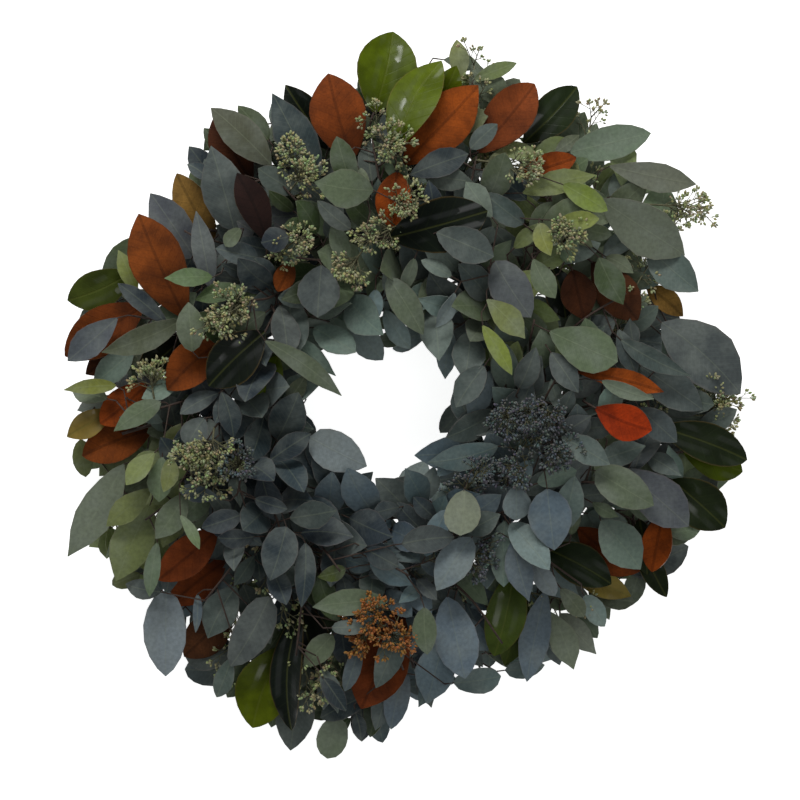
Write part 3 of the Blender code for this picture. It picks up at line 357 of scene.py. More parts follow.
class WreathTones(bpy.types.PropertyGroup):
    slate: colour("Slate", "#4D5653", "Dark blue-grey eucalyptus leaf")
    blue: colour("Blue", "#58676D", "Blue-grey eucalyptus leaf")
    ice: colour("Ice", "#758382", "Pale blue-grey eucalyptus leaf")
    frost: colour("Frost", "#859392", "Palest blue-grey eucalyptus leaf")
    lavender: colour("Lavender", "#6B7A81", "Lavender-blue eucalyptus leaf")
    lilac: colour("Lilac", "#575B5F", "Lilac-grey eucalyptus leaf")
    teal: colour("Teal", "#67766B", "Teal-grey eucalyptus leaf")
    sage: colour("Sage", "#626E54", "Sage green eucalyptus leaf")
    dusk: colour("Dusk", "#2F393D", "Darkest blue-grey eucalyptus leaf, in the shade")
    fern: colour("Fern", "#42502F", "Mid-green eucalyptus leaf")
    celery: colour("Celery", "#78834F", "Light olive eucalyptus leaf")
    lime: colour("Lime", "#7F8C40", "Yellow-green young leaf")
    mint: colour("Mint", "#6C7F57", "Light green young leaf")
    pale: colour("Pale", "#79866D", "Pale grey-green leaf")
    dusty: colour("Dusty", "#7C836E", "Light grey-green leaf in the light")
    taupe: colour("Taupe", "#53543F", "Drying grey-brown leaf")
    rust: colour("Rust", "#74380F", "Rust-brown felt under a magnolia leaf")
    flame: colour("Flame", "#8E400F", "Orange-brown felt under a magnolia leaf")
    ember: colour("Ember", "#AE3A0C", "Brightest orange-red felt")
    russet: colour("Russet", "#743714", "Deep red-brown felt")
    brown: colour("Brown", "#4C2A15", "Brown felt in the shade")
    maroon: colour("Maroon", "#24140F", "Darkest felt")
    amber: colour("Amber", "#82612C", "Golden brown felt")
    olive: colour("Olive", "#505F08", "Lit magnolia leaf")
    moss: colour("Moss", "#414E1C", "Mid-green magnolia leaf")
    forest: colour("Forest", "#212B16", "Dark green magnolia leaf")
    bottle: colour("Bottle", "#121811", "Darkest green magnolia leaf")
    gold: colour("Gold", "#8A7838", "Yellowing magnolia leaf")
    seed: colour("Seed", "#9C9F72", "Seed bud")
    seed_dark: colour("Dark seed", "#575F60", "Seed bud with a blue bloom")
    gold_seed: colour("Gold seed", "#A0682A", "Seed bud turned orange")
    bark: colour("Bark", "#3A2B22", "Bark of the stems")


def on_plan(pixel, z=0.0):
    """The point at height z that a pixel of the photograph shows."""
    return Vector(((pixel[0] - ORIGIN_PIXEL[0]) * PIXEL, (ORIGIN_PIXEL[1] - pixel[1]) * PIXEL, z))


RING_CENTRE = on_plan(RING_PIXEL)


def polar(angle, radius, z):
    """The point at an angle in degrees round the ring's axis."""
    turn = math.radians(angle)
    return RING_CENTRE + Vector((radius * math.cos(turn), radius * math.sin(turn), z))


def canopy(point):
    """Height of the top of the foliage over a point of the table."""
    radius = (Vector((point.x, point.y, 0)) - RING_CENTRE).length
    across = min(abs(radius - 0.150) / 0.165, 1.0)
    return 0.042 + 0.070 * math.sqrt(1 - across**2)


def tie_angle(index):
    return FIRST_TIE + index * TIE_STEP


BUNCHES = [f"eucalyptus_bunch_{number + 1:02d}" for number in range(TIES)]
SPRIGS = [f"magnolia_sprig_{number + 1:02d}" for number in range(TIES)]


def in_foliage(pixel, level):
    """The point that a pixel of the photograph shows, at a share of the foliage's height."""
    point = on_plan(pixel)
    point.z = canopy(point) * level
    return point


def bezier(points, t):
    """Point of a Bezier curve of any degree."""
    while len(points) > 1:
        points = [a.lerp(b, t) for a, b in zip(points, points[1:])]
    return points[0]


def smooth_route(route, steps):
    """Points along a Catmull-Rom curve through the route's own points."""
    ends = [route[0] * 2 - route[1]] + list(route) + [route[-1] * 2 - route[-2]]
    points = []
    for p0, p1, p2, p3 in zip(ends, ends[1:], ends[2:], ends[3:]):
        for step in range(steps):
            t = step / steps
            b = p2 - p0
            c = p0 * 2 - p1 * 5 + p2 * 4 - p3
            d = p1 * 3 - p0 - p2 * 3 + p3
            points.append((p1 * 2 + b * t + c * t**2 + d * t**3) * 0.5)
    return points + [route[-1]]

def dense(route):
    """A route with points close together."""
    points = []
    for a, b in zip(route, route[1:]):
        count = max(1, round((b - a).length / ROUTE_STEP))
        points += [a.lerp(b, index / count) for index in range(count)]
    return points + [route[-1]]


def ways_at(route, place):
    """A point of a dense route, the way it runs there and the way across it."""
    at = route[min(place, len(route) - 1)]
    along = (at - route[max(place - 3, 0)]).normalized()
    return at, along, along.cross(SHEET_NORMAL).normalized()


def along_runs(path, share):
    """Point at a share of the way along straight runs."""
    place = share * (len(path) - 1)
    index = min(int(place), len(path) - 2)
    return path[index].lerp(path[index + 1], place - index)


def tapered(radius, loss, path):
    """Radii along a path that lose a share of the first by its end."""
    return [radius * (1 - loss * step / (len(path) - 1)) for step in range(len(path))]


def point_tree(points):
    """A tree that finds the nearest of many points."""
    tree = KDTree(len(points))
    for index, point in enumerate(points):
        tree.insert(point, index)
    tree.balance()
    return tree


def nearest_on(routes, root, axis):
    """The cost and the point of the stems that a leaf stalk best starts from."""
    best = None
    for route in routes:
        for point in route:
            back = (root - point).dot(axis)
            cost = (root - point).length + max(0.0, 0.006 - back) * 2 + max(0.0, point.z - root.z) * 0.8
            if best is None or cost < best[0]:
                best = (cost, point)
    return best


def trial_pose(leaf, name, trial):
    """Root, tip and roll that the solids try for a leaf."""
    root = on_plan(leaf.root)
    tip = on_plan(leaf.tip)
    draw = random.Random(f"{name} {trial}")
    reach = min(trial / 30, 1.5)
    root.z = canopy(root) * leaf.level + draw.uniform(-0.006, 0.008) * reach
    tip.z = canopy(tip) * leaf.level + 0.004 + draw.uniform(-0.014, 0.014) * reach
    root += Vector((draw.uniform(-1, 1), draw.uniform(-1, 1), 0)) * (0.003 * reach)
    shift = Vector((draw.uniform(-1, 1), draw.uniform(-1, 1), 0)) * (0.003 * reach)
    left, right, top, bottom = STEADY_TIPS
    if left < leaf.tip[0] < right and top < leaf.tip[1] < bottom:
        tip += shift
    root.z = max(root.z, 0.012)
    tip.z = max(tip.z, 0.006)
    roll = draw.uniform(-0.30, 0.30) * (0.6 + reach)
    return root, tip, roll


def blade_axes(root, tip, roll):
    """The blade's length, its side way and the way its front faces."""
    axis = (tip - root).normalized()
    side = axis.cross(SHEET_NORMAL).normalized()
    up_way = side.cross(axis)
    turned = side * math.cos(roll) + up_way * math.sin(roll)
    return axis, turned, up_way * math.cos(roll) - side * math.sin(roll)


def half_width(form, t):
    """Half width of a blade at t from its root to its tip, as a share of the widest."""
    return math.sin(math.pi * min(max(t, 0.0), 1.0) ** form.skew) ** form.fullness


class Solids:
    """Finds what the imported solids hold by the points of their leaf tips."""

    def __init__(self):
        corners = [
            (vertex.co.copy(), name)
            for name, node in frame["nodes"].items()
            if name.startswith(("eucalyptus", "magnolia", "seed"))
            for vertex in node.data.vertices
        ]
        self.owners = [name for _, name in corners]
        self.tree = point_tree([point for point, _ in corners])

    def owner(self, point, kind):
        """The node of that kind with a corner at this point, or None."""
        for _, index, _ in self.tree.find_range(point, TIP_SEARCH):
            if self.owners[index].startswith(kind):
                return self.owners[index]
        return None


def bunch_routes(index):
    """The four leafy stems of one bunch, from its tie."""
    draw = random.Random(f"{BUNCHES[index]} stems")
    angle = tie_angle(index)
    routes = []
    for place, name in enumerate(STEM_ROUTES):
        offset = Vector((0, 0, 0.0006 * place))
        route = [polar(angle + 2.0, BUNDLE_RADIUS + (1.5 - place) * 0.0010, BUNDLE_HEIGHT) + offset]
        for past, radius, z in STEM_ROUTES[name]:
            route.append(polar(angle + past + draw.uniform(-1, 1), radius, z + draw.uniform(-0.002, 0.002)))
        routes.append(route)
    return routes


def sprig_route(index):
    """The woody stem of one magnolia sprig, from its cut end."""
    angle = tie_angle(index)
    height = BED + SPRIG_FLAT
    tail = [polar(angle - 6.0, SPRIG_RADIUS, height), polar(angle + 4.0, SPRIG_RADIUS, height)]
    return tail + [polar(angle + past, radius, z) for past, radius, z in SPRIG_ROUTE]


def region_tones(point):
    """The tones of the part of the wreath that a point is in."""
    return min(REGIONS, key=lambda region: (on_plan(region[0]) - Vector((point.x, point.y, 0))).length)[1]


def listed_blades(solids):
    """The leaves of the photograph as the solids hold them, for each node."""
    bunches = {
        name: [dense(route)[IN_BUNCH_TIE:-1] for route in bunch_routes(index)]
        for index, name in enumerate(BUNCHES)
    }
    sprigs = {name: [dense(sprig_route(index))[IN_SPRIG_TIE:-1]] for index, name in enumerate(SPRIGS)}
    found = {name: [] for name in BUNCHES + SPRIGS}
    for rows, form, label, nodes, kind in (
        (RUST_LEAVES, MAGNOLIA, "rust", sprigs, "magnolia"),
        (GREEN_LEAVES, MAGNOLIA, "green", sprigs, "magnolia"),
        (CLEAR_LEAVES, EUCALYPTUS, "clear", bunches, "eucalyptus"),
        (ROUND_LEAVES, SILVER_DOLLAR, "round", bunches, "eucalyptus"),
    ):
        rust = label == "rust"
        for number, leaf in enumerate(map(Leaf._make, rows)):
            for trial in range(TRIALS):
                root, tip, roll = trial_pose(leaf, f"{label} {number}", trial)
                owner = solids.owner(tip, kind)
                if owner:
                    start = nearest_on(nodes[owner], root, (tip - root).normalized())[1]
                    blade = Blade(form, start, root, tip, leaf.width, roll, leaf.tone, rust, True)
                    found[owner].append(blade)
                    break
            else:
                tuck(leaf, form, nodes, found)
    for rows, form, nodes in ((TUCKED_MAGNOLIA, MAGNOLIA, sprigs), (TUCKED_EUCALYPTUS, EUCALYPTUS, bunches)):
        for leaf in map(Leaf._make, rows):
            tuck(leaf, form, nodes, found)
    for owner, routes in bunches.items():
        for place, route in enumerate(routes):
            for step in range(1, int(len(route) * ROUTE_STEP / LEAF_PAIR_STEP) + 1):
                for hand in (-1, 1):
                    blade = pair_blade(owner, place, route, step, hand, solids)
                    if blade:
                        found[owner].append(blade)
    return found


def tuck(leaf, form, nodes, found):
    """Puts a leaf that the solids have no room for where it is seen."""
    root, tip, roll = trial_pose(leaf, f"tucked {leaf.tip}", 0)
    axis = (tip - root).normalized()
    owner = min(nodes, key=lambda name: nearest_on(nodes[name], root, axis)[0])
    start = nearest_on(nodes[owner], root, axis)[1]
    found[owner].append(Blade(form, start, root, tip, leaf.width, roll, leaf.tone, False, True))


def pair_blade(owner, place, route, step, hand, solids):
    """One leaf of a pair along a stem, if the solids hold it."""
    draw = random.Random(f"{owner} {place} {step} {hand}")
    at, along, across = ways_at(route, int(step * LEAF_PAIR_STEP / ROUTE_STEP))
    for _ in range(FILL_TRIALS):
        open_angle = math.radians(draw.uniform(30, 75))
        rise = draw.uniform(-0.35, 0.75)
        way = along * math.cos(open_angle) + across * (hand * math.sin(open_angle))
        way = (way + Vector((0, 0, rise))).normalized()
        size = draw.uniform(*LEAF_PAIR_LENGTH)
        root = at + way * 0.012
        tip = root + way * size
        width = size * draw.uniform(0.48, 0.62)
        roll = draw.uniform(-0.5, 0.5)
        if solids.owner(tip, owner):
            tone = draw.choice(region_tones(tip))
            start = nearest_on([route], root, way)[1]
            return Blade(EUCALYPTUS, start, root, tip, width, roll, tone, False, False)
    return None


def blade_sheet(blade):
    """A coarse sheet of a blade, for telling whether it crosses another."""
    _, side, up_way = blade_axes(blade.root, blade.tip, blade.roll)
    across, along = 2, 4
    size = (blade.tip - blade.root).length
    points = []
    for row in range(along + 1):
        t = row / along
        middle = blade.root.lerp(blade.tip, t) + up_way * (4 * blade.form.bow * size * t * (1 - t))
        for column in range(across + 1):
            half = blade.width / 2 * half_width(blade.form, 0.04 + 0.92 * t)
            points.append(middle + side * (half * (2 * column / across - 1)))
    faces = []
    for row in range(along):
        for column in range(across):
            first = row * (across + 1) + column
            faces.append((first, first + 1, first + across + 2, first + across + 1))
    return points, faces


def sector(out):
    """The sector of the ring that a way from its axis points to."""
    return int(math.degrees(math.atan2(out.y, out.x)) % 360 / SECTOR)


def reach_table(found):
    """How far the leaves reach from the ring's axis, for each sector."""
    sectors = 360 // SECTOR
    reach = np.zeros(sectors)
    for blades in found.values():
        for blade in blades:
            out = blade.tip - RING_CENTRE
            for near in (-1, 0, 1):
                place = (sector(out) + near) % sectors
                reach[place] = max(reach[place], math.hypot(out.x, out.y))
    smooth = sum(np.roll(reach, shift) for shift in (-2, -1, 0, 1, 2)) / 5
    return np.minimum(reach, smooth + 0.006)


def in_outline(point, outline):
    """True where a point is inside a closed outline of points."""
    inside = False
    for a, b in zip(outline, outline[1:] + outline[:1]):
        if (a.y > point.y) != (b.y > point.y):
            if point.x < a.x + (b.x - a.x) * (point.y - a.y) / (b.y - a.y):
                inside = not inside
    return inside


class Planted:
    """The leaves placed so far, how much of the table they cover, and the outline that they stay in."""

    def __init__(self, found):
        self.low = np.empty((0, 3))
        self.high = np.empty((0, 3))
        self.trees = []
        size = int(2 * TABLE_HALF / CELL)
        self.cover = np.zeros((size, size), np.int16)
        self.top = np.full((size, size), 1.0)
        self.reach = reach_table(found)
        self.hole = [on_plan(pixel) for pixel in HOLE]
        for blades in found.values():
            for blade in blades:
                self.add(blade)

    def cells(self, blade):
        """The cells of the table under a blade, and its heights over them."""
        _, side, _ = blade_axes(blade.root, blade.tip, blade.roll)
        root = np.array(blade.root[:2])
        span = np.array(blade.tip[:2]) - root
        flat = float(np.hypot(*span))
        if flat < SHORTEST:
            return None
        along = span / flat
        across = np.array((along[1], -along[0]))
        wide = blade.width / 2 * max(math.hypot(side.x, side.y), 0.3)
        low = np.floor((np.minimum(root, root + span) - wide + TABLE_HALF) / CELL).astype(int)
        high = np.ceil((np.maximum(root, root + span) + wide + TABLE_HALF) / CELL).astype(int)
        low = np.clip(low, 0, self.cover.shape[0] - 1)
        high = np.clip(high, 1, self.cover.shape[0])
        xs, ys = np.meshgrid(np.arange(low[0], high[0]), np.arange(low[1], high[1]), indexing="ij")
        dx = (xs + 0.5) * CELL - TABLE_HALF - root[0]
        dy = (ys + 0.5) * CELL - TABLE_HALF - root[1]
        t = np.clip((dx * along[0] + dy * along[1]) / flat, 0, 1)
        beside = np.abs(dx * across[0] + dy * across[1])
        half = wide * np.sin(np.pi * t**blade.form.skew).clip(0, 1) ** blade.form.fullness
        inside = (beside < half) & (t > 0) & (t < 1)
        run = t[inside]
        slope = blade.root.z + (blade.tip.z - blade.root.z) * run
        return (xs[inside], ys[inside]), slope + 4 * blade.form.bow * flat * run * (1 - run)

    def wanted(self):
        """The cells of the table that the foliage should hide."""
        centres = (np.arange(self.cover.shape[0]) + 0.5) * CELL - TABLE_HALF
        xs, ys = np.meshgrid(centres, centres, indexing="ij")
        dx, dy = xs - RING_CENTRE.x, ys - RING_CENTRE.y
        place = (np.degrees(np.arctan2(dy, dx)) % 360 / SECTOR).astype(int)
        inside = np.zeros(xs.shape, bool)
        for a, b in zip(self.hole, self.hole[1:] + self.hole[:1]):
            crosses = (a.y > ys) != (b.y > ys)
            with np.errstate(divide="ignore", invalid="ignore"):
                inside ^= crosses & (xs < a.x + (b.x - a.x) * (ys - a.y) / (b.y - a.y))
        return (np.hypot(dx, dy) < self.reach[place] * BARE_SHARE) & ~inside

    def clear(self, blade):
        """True where the blade crosses no other."""
        points, faces = blade_sheet(blade)
        corners = np.array(points)
        low, high = corners.min(0) - 0.0006, corners.max(0) + 0.0006
        near = np.nonzero(((self.low <= high) & (self.high >= low)).all(1))[0] if len(self.trees) else []
        if not len(near):
            return True
        tree = BVHTree.FromPolygons(points, faces)
        return not any(tree.overlap(self.trees[index]) for index in near)

    def add(self, blade):
        points, faces = blade_sheet(blade)
        corners = np.array(points)
        self.low = np.vstack([self.low, corners.min(0)])
        self.high = np.vstack([self.high, corners.max(0)])
        self.trees.append(BVHTree.FromPolygons(points, faces))
        found = self.cells(blade)
        if found:
            cells, heights = found
            self.cover[cells] += 1
            if blade.listed:
                self.top[cells] = np.minimum(self.top[cells], heights)

    def suits(self, blade, layers, gain):
        """True where a candidate covers enough bare table, stays in the outline and crosses no other leaf."""
        for point in (blade.tip, blade.root):
            out = point - RING_CENTRE
            if math.hypot(out.x, out.y) > self.reach[sector(out)] * OUTLINE_SHARE:
                return False
        if blade.tip.z < LOWEST_TIP or blade.root.z < LOWEST_ROOT:
            return False
        if max(blade.tip.z, blade.root.z) > canopy(blade.tip) * HEIGHT_SHARE:
            return False
        found = self.cells(blade)
        if found is None or not len(found[1]):
            return False
        cells, heights = found
        if (self.cover[cells] < layers).mean() < gain or (self.top[cells] < heights).mean() > MOST_OVER:
            return False
        _, side, _ = blade_axes(blade.root, blade.tip, blade.roll)
        middle = blade.root.lerp(blade.tip, 0.5)
        edges = (middle + side * (blade.width * 0.45), middle - side * (blade.width * 0.45))
        if any(in_outline(point, self.hole) for point in (blade.tip, middle, *edges, *stalk_path(blade))):
            return False
        return self.clear(blade)


def twig_leaves(owner, place, route, seed):
    """Candidate side twigs of a stem: each is its path and the leaves it could carry."""
    draw = random.Random(f"{owner} {place} twigs {seed}")
    made = []
    for step in range(2 + seed % 3, len(route), 4):
        at, along, across = ways_at(route, step)
        hand = 1 if (step // 4) % 2 else -1
        turn = math.radians(draw.uniform(25, 75))
        way = along * math.cos(turn) + across * (hand * math.sin(turn))
        way = (way + Vector((0, 0, draw.uniform(-0.45, 0.35)))).normalized()
        reach = draw.uniform(0.020, 0.060)
        bend = Vector((draw.uniform(-0.2, 0.2), draw.uniform(-0.2, 0.1), draw.uniform(-0.2, 0.1))) * reach
        path = [at, at + way * reach * 0.5 + bend * 0.5, at + way * reach + bend]
        leaves = []
        for share in (0.35, 0.65, 1.0):
            for side in (-1, 1, 0) if share == 1.0 else (-1, 1):
                leaves.append((share, side_leaf(along_runs(path, share), way, side, draw)))
        made.append((path, leaves))
    return made


def side_leaf(start, way, side, draw):
    """A candidate leaf off a twig, with a slight lean to where the face looks."""
    across = way.cross(SHEET_NORMAL).normalized()
    turn = math.radians(draw.uniform(30, 65)) * side
    lean = Vector((0, -0.15, draw.uniform(-0.35, 0.25)))
    heading = (way * math.cos(turn) + across * math.sin(turn) + lean).normalized()
    size = draw.choice((draw.uniform(0.026, 0.042), draw.uniform(0.038, 0.056)))
    root = start + heading * draw.uniform(0.006, 0.012)
    tip = root + heading * size + Vector((0, 0, -0.12 * size))
    width = size * draw.uniform(0.42, 0.62)
    form = SILVER_DOLLAR if draw.random() < 0.12 else EUCALYPTUS
    return Blade(form, start, root, tip, width, draw.uniform(-0.55, 0.55), "", False, False)


def fill_between(found, limit):
    """Adds leaves on side twigs where the table still shows, and returns the twigs of each bunch."""
    planted = Planted(found)
    twigs = {name: [] for name in BUNCHES}
    count = 0
    for seed, (layers, gain) in enumerate(FILL_PASSES):
        for index, owner in enumerate(BUNCHES):
            for place, route in enumerate(bunch_routes(index)):
                for path, leaves in twig_leaves(owner, place, dense(route)[IN_BUNCH_TIE:], seed):
                    if any(in_outline(point, planted.hole) for point in path):
                        continue
                    kept = 0.0
                    for share, blade in leaves:
                        if count >= limit or not planted.suits(blade, layers, gain):
                            continue
                        tones = region_tones(blade.tip)
                        blade = blade._replace(tone=tones[count % len(tones)])
                        planted.add(blade)
                        found[owner].append(blade)
                        kept = max(kept, share)
                        count += 1
                    if kept:
                        twigs[owner].append((path, kept))
    patch_gaps(found, planted)
    return twigs


def stem_tree():
    """The points of the bunches' stems in a tree, and the bunch that each belongs to."""
    points = []
    owners = []
    for index, owner in enumerate(BUNCHES):
        for route in bunch_routes(index):
            stem = dense(route)[IN_BUNCH_TIE:]
            points += stem
            owners += [owner] * len(stem)
    return point_tree(points), owners


def patch_gaps(found, planted):
    """Tucks low leaves under the places where the table still shows, then leaves on edge through the body."""
    tree, owners = stem_tree()
    wanted = planted.wanted()
    draw = random.Random("gaps")
    for attempt in range(GAP_TRIES + BODY_TRIES):
        on_edge = attempt >= GAP_TRIES
        if on_edge:
            middle = polar(draw.uniform(0, 360), draw.uniform(0.094, 0.200), 0)
        else:
            bare = np.argwhere(wanted & (planted.cover == 0))
            if not len(bare):
                continue
            spot = (bare[draw.randrange(len(bare))] + 0.5) * CELL - TABLE_HALF
            middle = Vector((spot[0], spot[1], 0))
        out = middle - RING_CENTRE
        turn = math.atan2(out.y, out.x) + math.radians(draw.uniform(-75, 75))
        if out.length < 0.100:
            turn += math.pi * (draw.random() < 0.5)
        heading = Vector((math.cos(turn), math.sin(turn), 0))
        size = draw.uniform(0.028, 0.052)
        root = middle - heading * (size * draw.uniform(0.35, 0.65))
        tip = root + heading * size
        level = draw.uniform(0.22, 0.60) if on_edge else draw.uniform(0.22, 0.75)
        root.z = max(canopy(root) * level, 0.012)
        tip.z = max(canopy(tip) * level + draw.uniform(-0.012, 0.006), 0.008)
        start, number, away = tree.find(root)
        if away > STEM_REACH:
            continue
        tones = region_tones(tip)
        tone = tones[draw.randrange(len(tones))]
        width = size * draw.uniform(0.46, 0.66)
        roll = draw.choice((-1, 1)) * draw.uniform(0.6, 1.3) if on_edge else draw.uniform(-0.4, 0.4)
        blade = Blade(EUCALYPTUS, start, root, tip, width, roll, tone, False, False)
        if planted.suits(blade, BODY_LAYERS if on_edge else 1, LEAST_GAIN):
            planted.add(blade)
            found[owners[number]].append(blade)


def new_shape():
    """A bmesh whose points hold a tone and the place on their leaf."""
    shape = bmesh.new()
    shape.verts.layers.float_color.new("tone")
    shape.verts.layers.float_vector.new("leaf")
    return shape


def add_blade(shape, blade, tone, name):
    """A leaf's front, from a grid that its formula shapes."""
    form = blade.form
    draw = random.Random(name)
    axis, side, up_way = blade_axes(blade.root, blade.tip, blade.roll)
    size = (blade.tip - blade.root).length
    sway = draw.uniform(-0.035, 0.035) * size
    phase = draw.uniform(0, math.tau)
    curl = draw.uniform(-0.10, 0.16)
    twist = draw.uniform(-0.25, 0.25)
    waves = draw.uniform(1.5, 3.0)
    spread = 0.10 if blade.listed else 0.30
    shade = draw.uniform(1 - spread, 1 + spread)
    # Painted shade: a filler leaf's tone is darkened the lower it lies in the foliage, from 1.04 at the top
    # down to 0.82 at the table.
    if not blade.listed:
        middle = blade.root.lerp(blade.tip, 0.5)
        shade *= 0.82 + 0.22 * min(middle.z / canopy(middle), 1.0)
    tint = [part * shade * draw.uniform(0.94, 1.06) for part in tone[:3]]
    supple = form is not MAGNOLIA
    skew = form.skew * (draw.uniform(0.96, 1.42) if supple else draw.uniform(0.98, 1.15))
    fullness = form.fullness * (draw.uniform(0.66, 1.0) if supple else draw.uniform(0.88, 1.0))
    point = draw.uniform(0.1, 0.8) if supple else draw.uniform(0.1, 0.5)
    tones = shape.verts.layers.float_color["tone"]
    places = shape.verts.layers.float_vector["leaf"]
    made = bmesh.ops.create_grid(shape, x_segments=form.across, y_segments=form.along, size=0.5)
    for vertex in made["verts"]:
        u = vertex.co.x * 2
        s = vertex.co.y + 0.5
        t = 0.45 * s + 0.55 * (0.5 - 0.5 * math.cos(math.pi * s))
        outline = form._replace(skew=skew, fullness=fullness * (1 + point * t))
        half = blade.width / 2 * half_width(outline, t)
        half = max(half, form.stalk * 0.8 if t < 0.5 else 0.00025)
        rise = 4 * form.bow * size * t * (1 - t)
        lift = (up_way - axis * (4 * form.bow * (1 - 2 * t))).normalized()
        turned = side * math.cos(twist * (t - 0.5)) + lift * math.sin(twist * (t - 0.5))
        cup = half * (form.fold * abs(u) + curl * u * u)
        wave = math.sin(phase + waves * math.pi * t) * (1 if u > 0 else -0.8)
        cup += half * form.ripple * u * abs(u) * wave
        at = blade.root.lerp(blade.tip, t) + up_way * rise + side * (4 * sway * t * (1 - t))
        vertex.co = at + turned * (half * u) + lift * cup
        # The alpha holds the share of the way from root to tip, which the leaf materials use to paint shade
        # at the root.
        vertex[tones] = (*tint, t)
        vertex[places] = (half * u * 1000, t * size * 1000, u)
    faces = {face for vertex in made["verts"] for face in vertex.link_faces}
    for face in faces:
        face.material_index = 1 if blade.rust else 0
        face.smooth = True


def add_tube(shape, path, radii, sides, tone):
    """A stem's skin, from a grid rolled round its path. The seam and ends are closed later."""
    tones = shape.verts.layers.float_color["tone"]
    places = shape.verts.layers.float_vector["leaf"]
    last = len(path) - 1
    frames = []
    side_way = None
    travelled = 0.0
    for index, point in enumerate(path):
        along = (path[min(index + 1, last)] - path[max(index - 1, 0)]).normalized()
        if side_way is None:
            side_way = along.orthogonal()
        side_way = (side_way - along * side_way.dot(along)).normalized()
        travelled += (point - path[max(index - 1, 0)]).length
        frames.append((point, side_way, along.cross(side_way), travelled))
    made = bmesh.ops.create_grid(shape, x_segments=sides, y_segments=last, size=0.5)
    for vertex in made["verts"]:
        turn = round((vertex.co.x + 0.5) * sides) % sides / sides
        index = round((vertex.co.y + 0.5) * last)
        point, across, up_way, travelled = frames[index]
        ring = across * math.cos(math.tau * turn) + up_way * math.sin(math.tau * turn)
        vertex.co = point + ring * radii[index]
        vertex[tones] = tone
        vertex[places] = (turn * 10, travelled * 1000, 0)
    for face in {face for vertex in made["verts"] for face in vertex.link_faces}:
        face.smooth = True


def close_tubes(shape):
    """Joins the seams of rolled grids and closes their ends."""
    bmesh.ops.remove_doubles(shape, verts=shape.verts[:], dist=1e-6)
    bmesh.ops.holes_fill(shape, edges=[edge for edge in shape.edges if len(edge.link_faces) == 1], sides=0)
    bmesh.ops.recalc_face_normals(shape, faces=shape.faces[:])


def thicken(shape, thickness):
    """Gives the leaves their thickness: the front stays, and the back takes the other finish."""
    shape.normal_update()
    fronts = shape.faces[:]
    made = bmesh.ops.solidify(shape, geom=fronts, thickness=thickness)
    backs = {part for part in made["geom"] if isinstance(part, bmesh.types.BMFace)}
    for face in backs:
        face.material_index = 1 - face.material_index
    flat = backs | set(fronts)
    for face in shape.faces:
        if face not in flat:
            face.smooth = True
            face.material_index = 0
            for edge in face.edges:
                if any(other in flat for other in edge.link_faces):
                    edge.smooth = False


def finish_piece(name, shape, materials, node):
    """Makes the piece from its shape, in the place of its node."""
    mesh = bpy.data.meshes.new(name)
    shape.to_mesh(mesh)
    shape.free()
    for material in materials:
        mesh.materials.append(material)
    piece = bpy.data.objects.new(name, mesh)
    bpy.context.scene.collection.objects.link(piece)
    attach(piece, "root")
    if node:
        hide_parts(node)


def join_shape(base, other, material_index):
    """Puts another shape into the first, its faces after its own, with one material."""
    for face in other.faces:
        face.material_index = material_index
    mesh = bpy.data.meshes.new("joined")
    other.to_mesh(mesh)
    other.free()
    base.from_mesh(mesh)
    bpy.data.meshes.remove(mesh)


def stalk_path(blade):
    """The leaf stalk's path, from inside its stem to the blade."""
    axis, _, _ = blade_axes(blade.root, blade.tip, blade.roll)
    reach = (blade.root - blade.start).length
    sag = Vector((0, 0, 0.10 * reach))
    low = blade.start.lerp(blade.root, 0.35) - sag
    curve = [blade.start, low, blade.root - axis * (0.38 * reach), blade.root]
    steps = 3 if reach > 0.02 else 2
    return [bezier(curve, step / steps) for step in range(steps + 1)] + [blade.root + axis * 0.0015]


def add(tree, kind, inputs=(), output=0, **settings):
    """Adds a node with its settings and gives one output. An input is a value or the socket that feeds it."""
    node = tree.nodes.new("ShaderNode" + kind)
    for name, value in settings.items():
        setattr(node, name, value)
    for key, value in inputs.items() if isinstance(inputs, dict) else enumerate(inputs):
        if isinstance(value, bpy.types.NodeSocket):
            tree.links.new(value, node.inputs[key])
        else:
            node.inputs[key].default_value = value
    return node.outputs[output] if node.outputs else None


def spots(tree, size_mm, detail):
    """Soft spots of a size in millimetres, fixed to the piece, from 0 to 1."""
    place = add(tree, "TexCoord", output="Object")
    return add(tree, "TexNoise", {"Vector": place, "Scale": 1000 / size_mm, "Detail": detail})


def toned(tree, under, pattern, low, high, at_low, at_high):
    """A colour made darker or lighter as a pattern goes from low to high."""
    share = add(tree, "MapRange", (pattern, low, high, at_low, at_high))
    return add(tree, "Mix", {0: 1.0, 6: under, 7: share}, 2, data_type="RGBA", blend_type="MULTIPLY")


def marked(tree, under, *marks):
    """A colour with marks laid over it, each a pattern, how strongly it covers and its colour."""
    for pattern, strength, code in marks:
        share = add(tree, "Math", (pattern, strength), operation="MULTIPLY")
        under = add(tree, "Mix", {0: share, 6: under, 7: linear(code)}, 2, data_type="RGBA")
    return under


def relief(tree, strength, depth_mm, *layers):
    """The normal of a surface that patterns raise, or sink, by a share of a depth in millimetres."""
    height = 0.0
    for pattern, share in layers:
        height = add(tree, "Math", (pattern, share, height), operation="MULTIPLY_ADD")
    return add(tree, "Bump", {"Height": height, "Strength": strength, "Distance": depth_mm / 1000})


def leaf_places(tree):
    """Distance from the midrib and from the root in millimetres, and the share of the way to the edge."""
    leaf = add(tree, "Attribute", output="Vector", attribute_name="leaf")
    across, along, edge = (add(tree, "SeparateXYZ", (leaf,), part) for part in range(3))
    across = add(tree, "Math", (across,), operation="ABSOLUTE")
    return across, along, add(tree, "Math", (edge,), operation="ABSOLUTE")


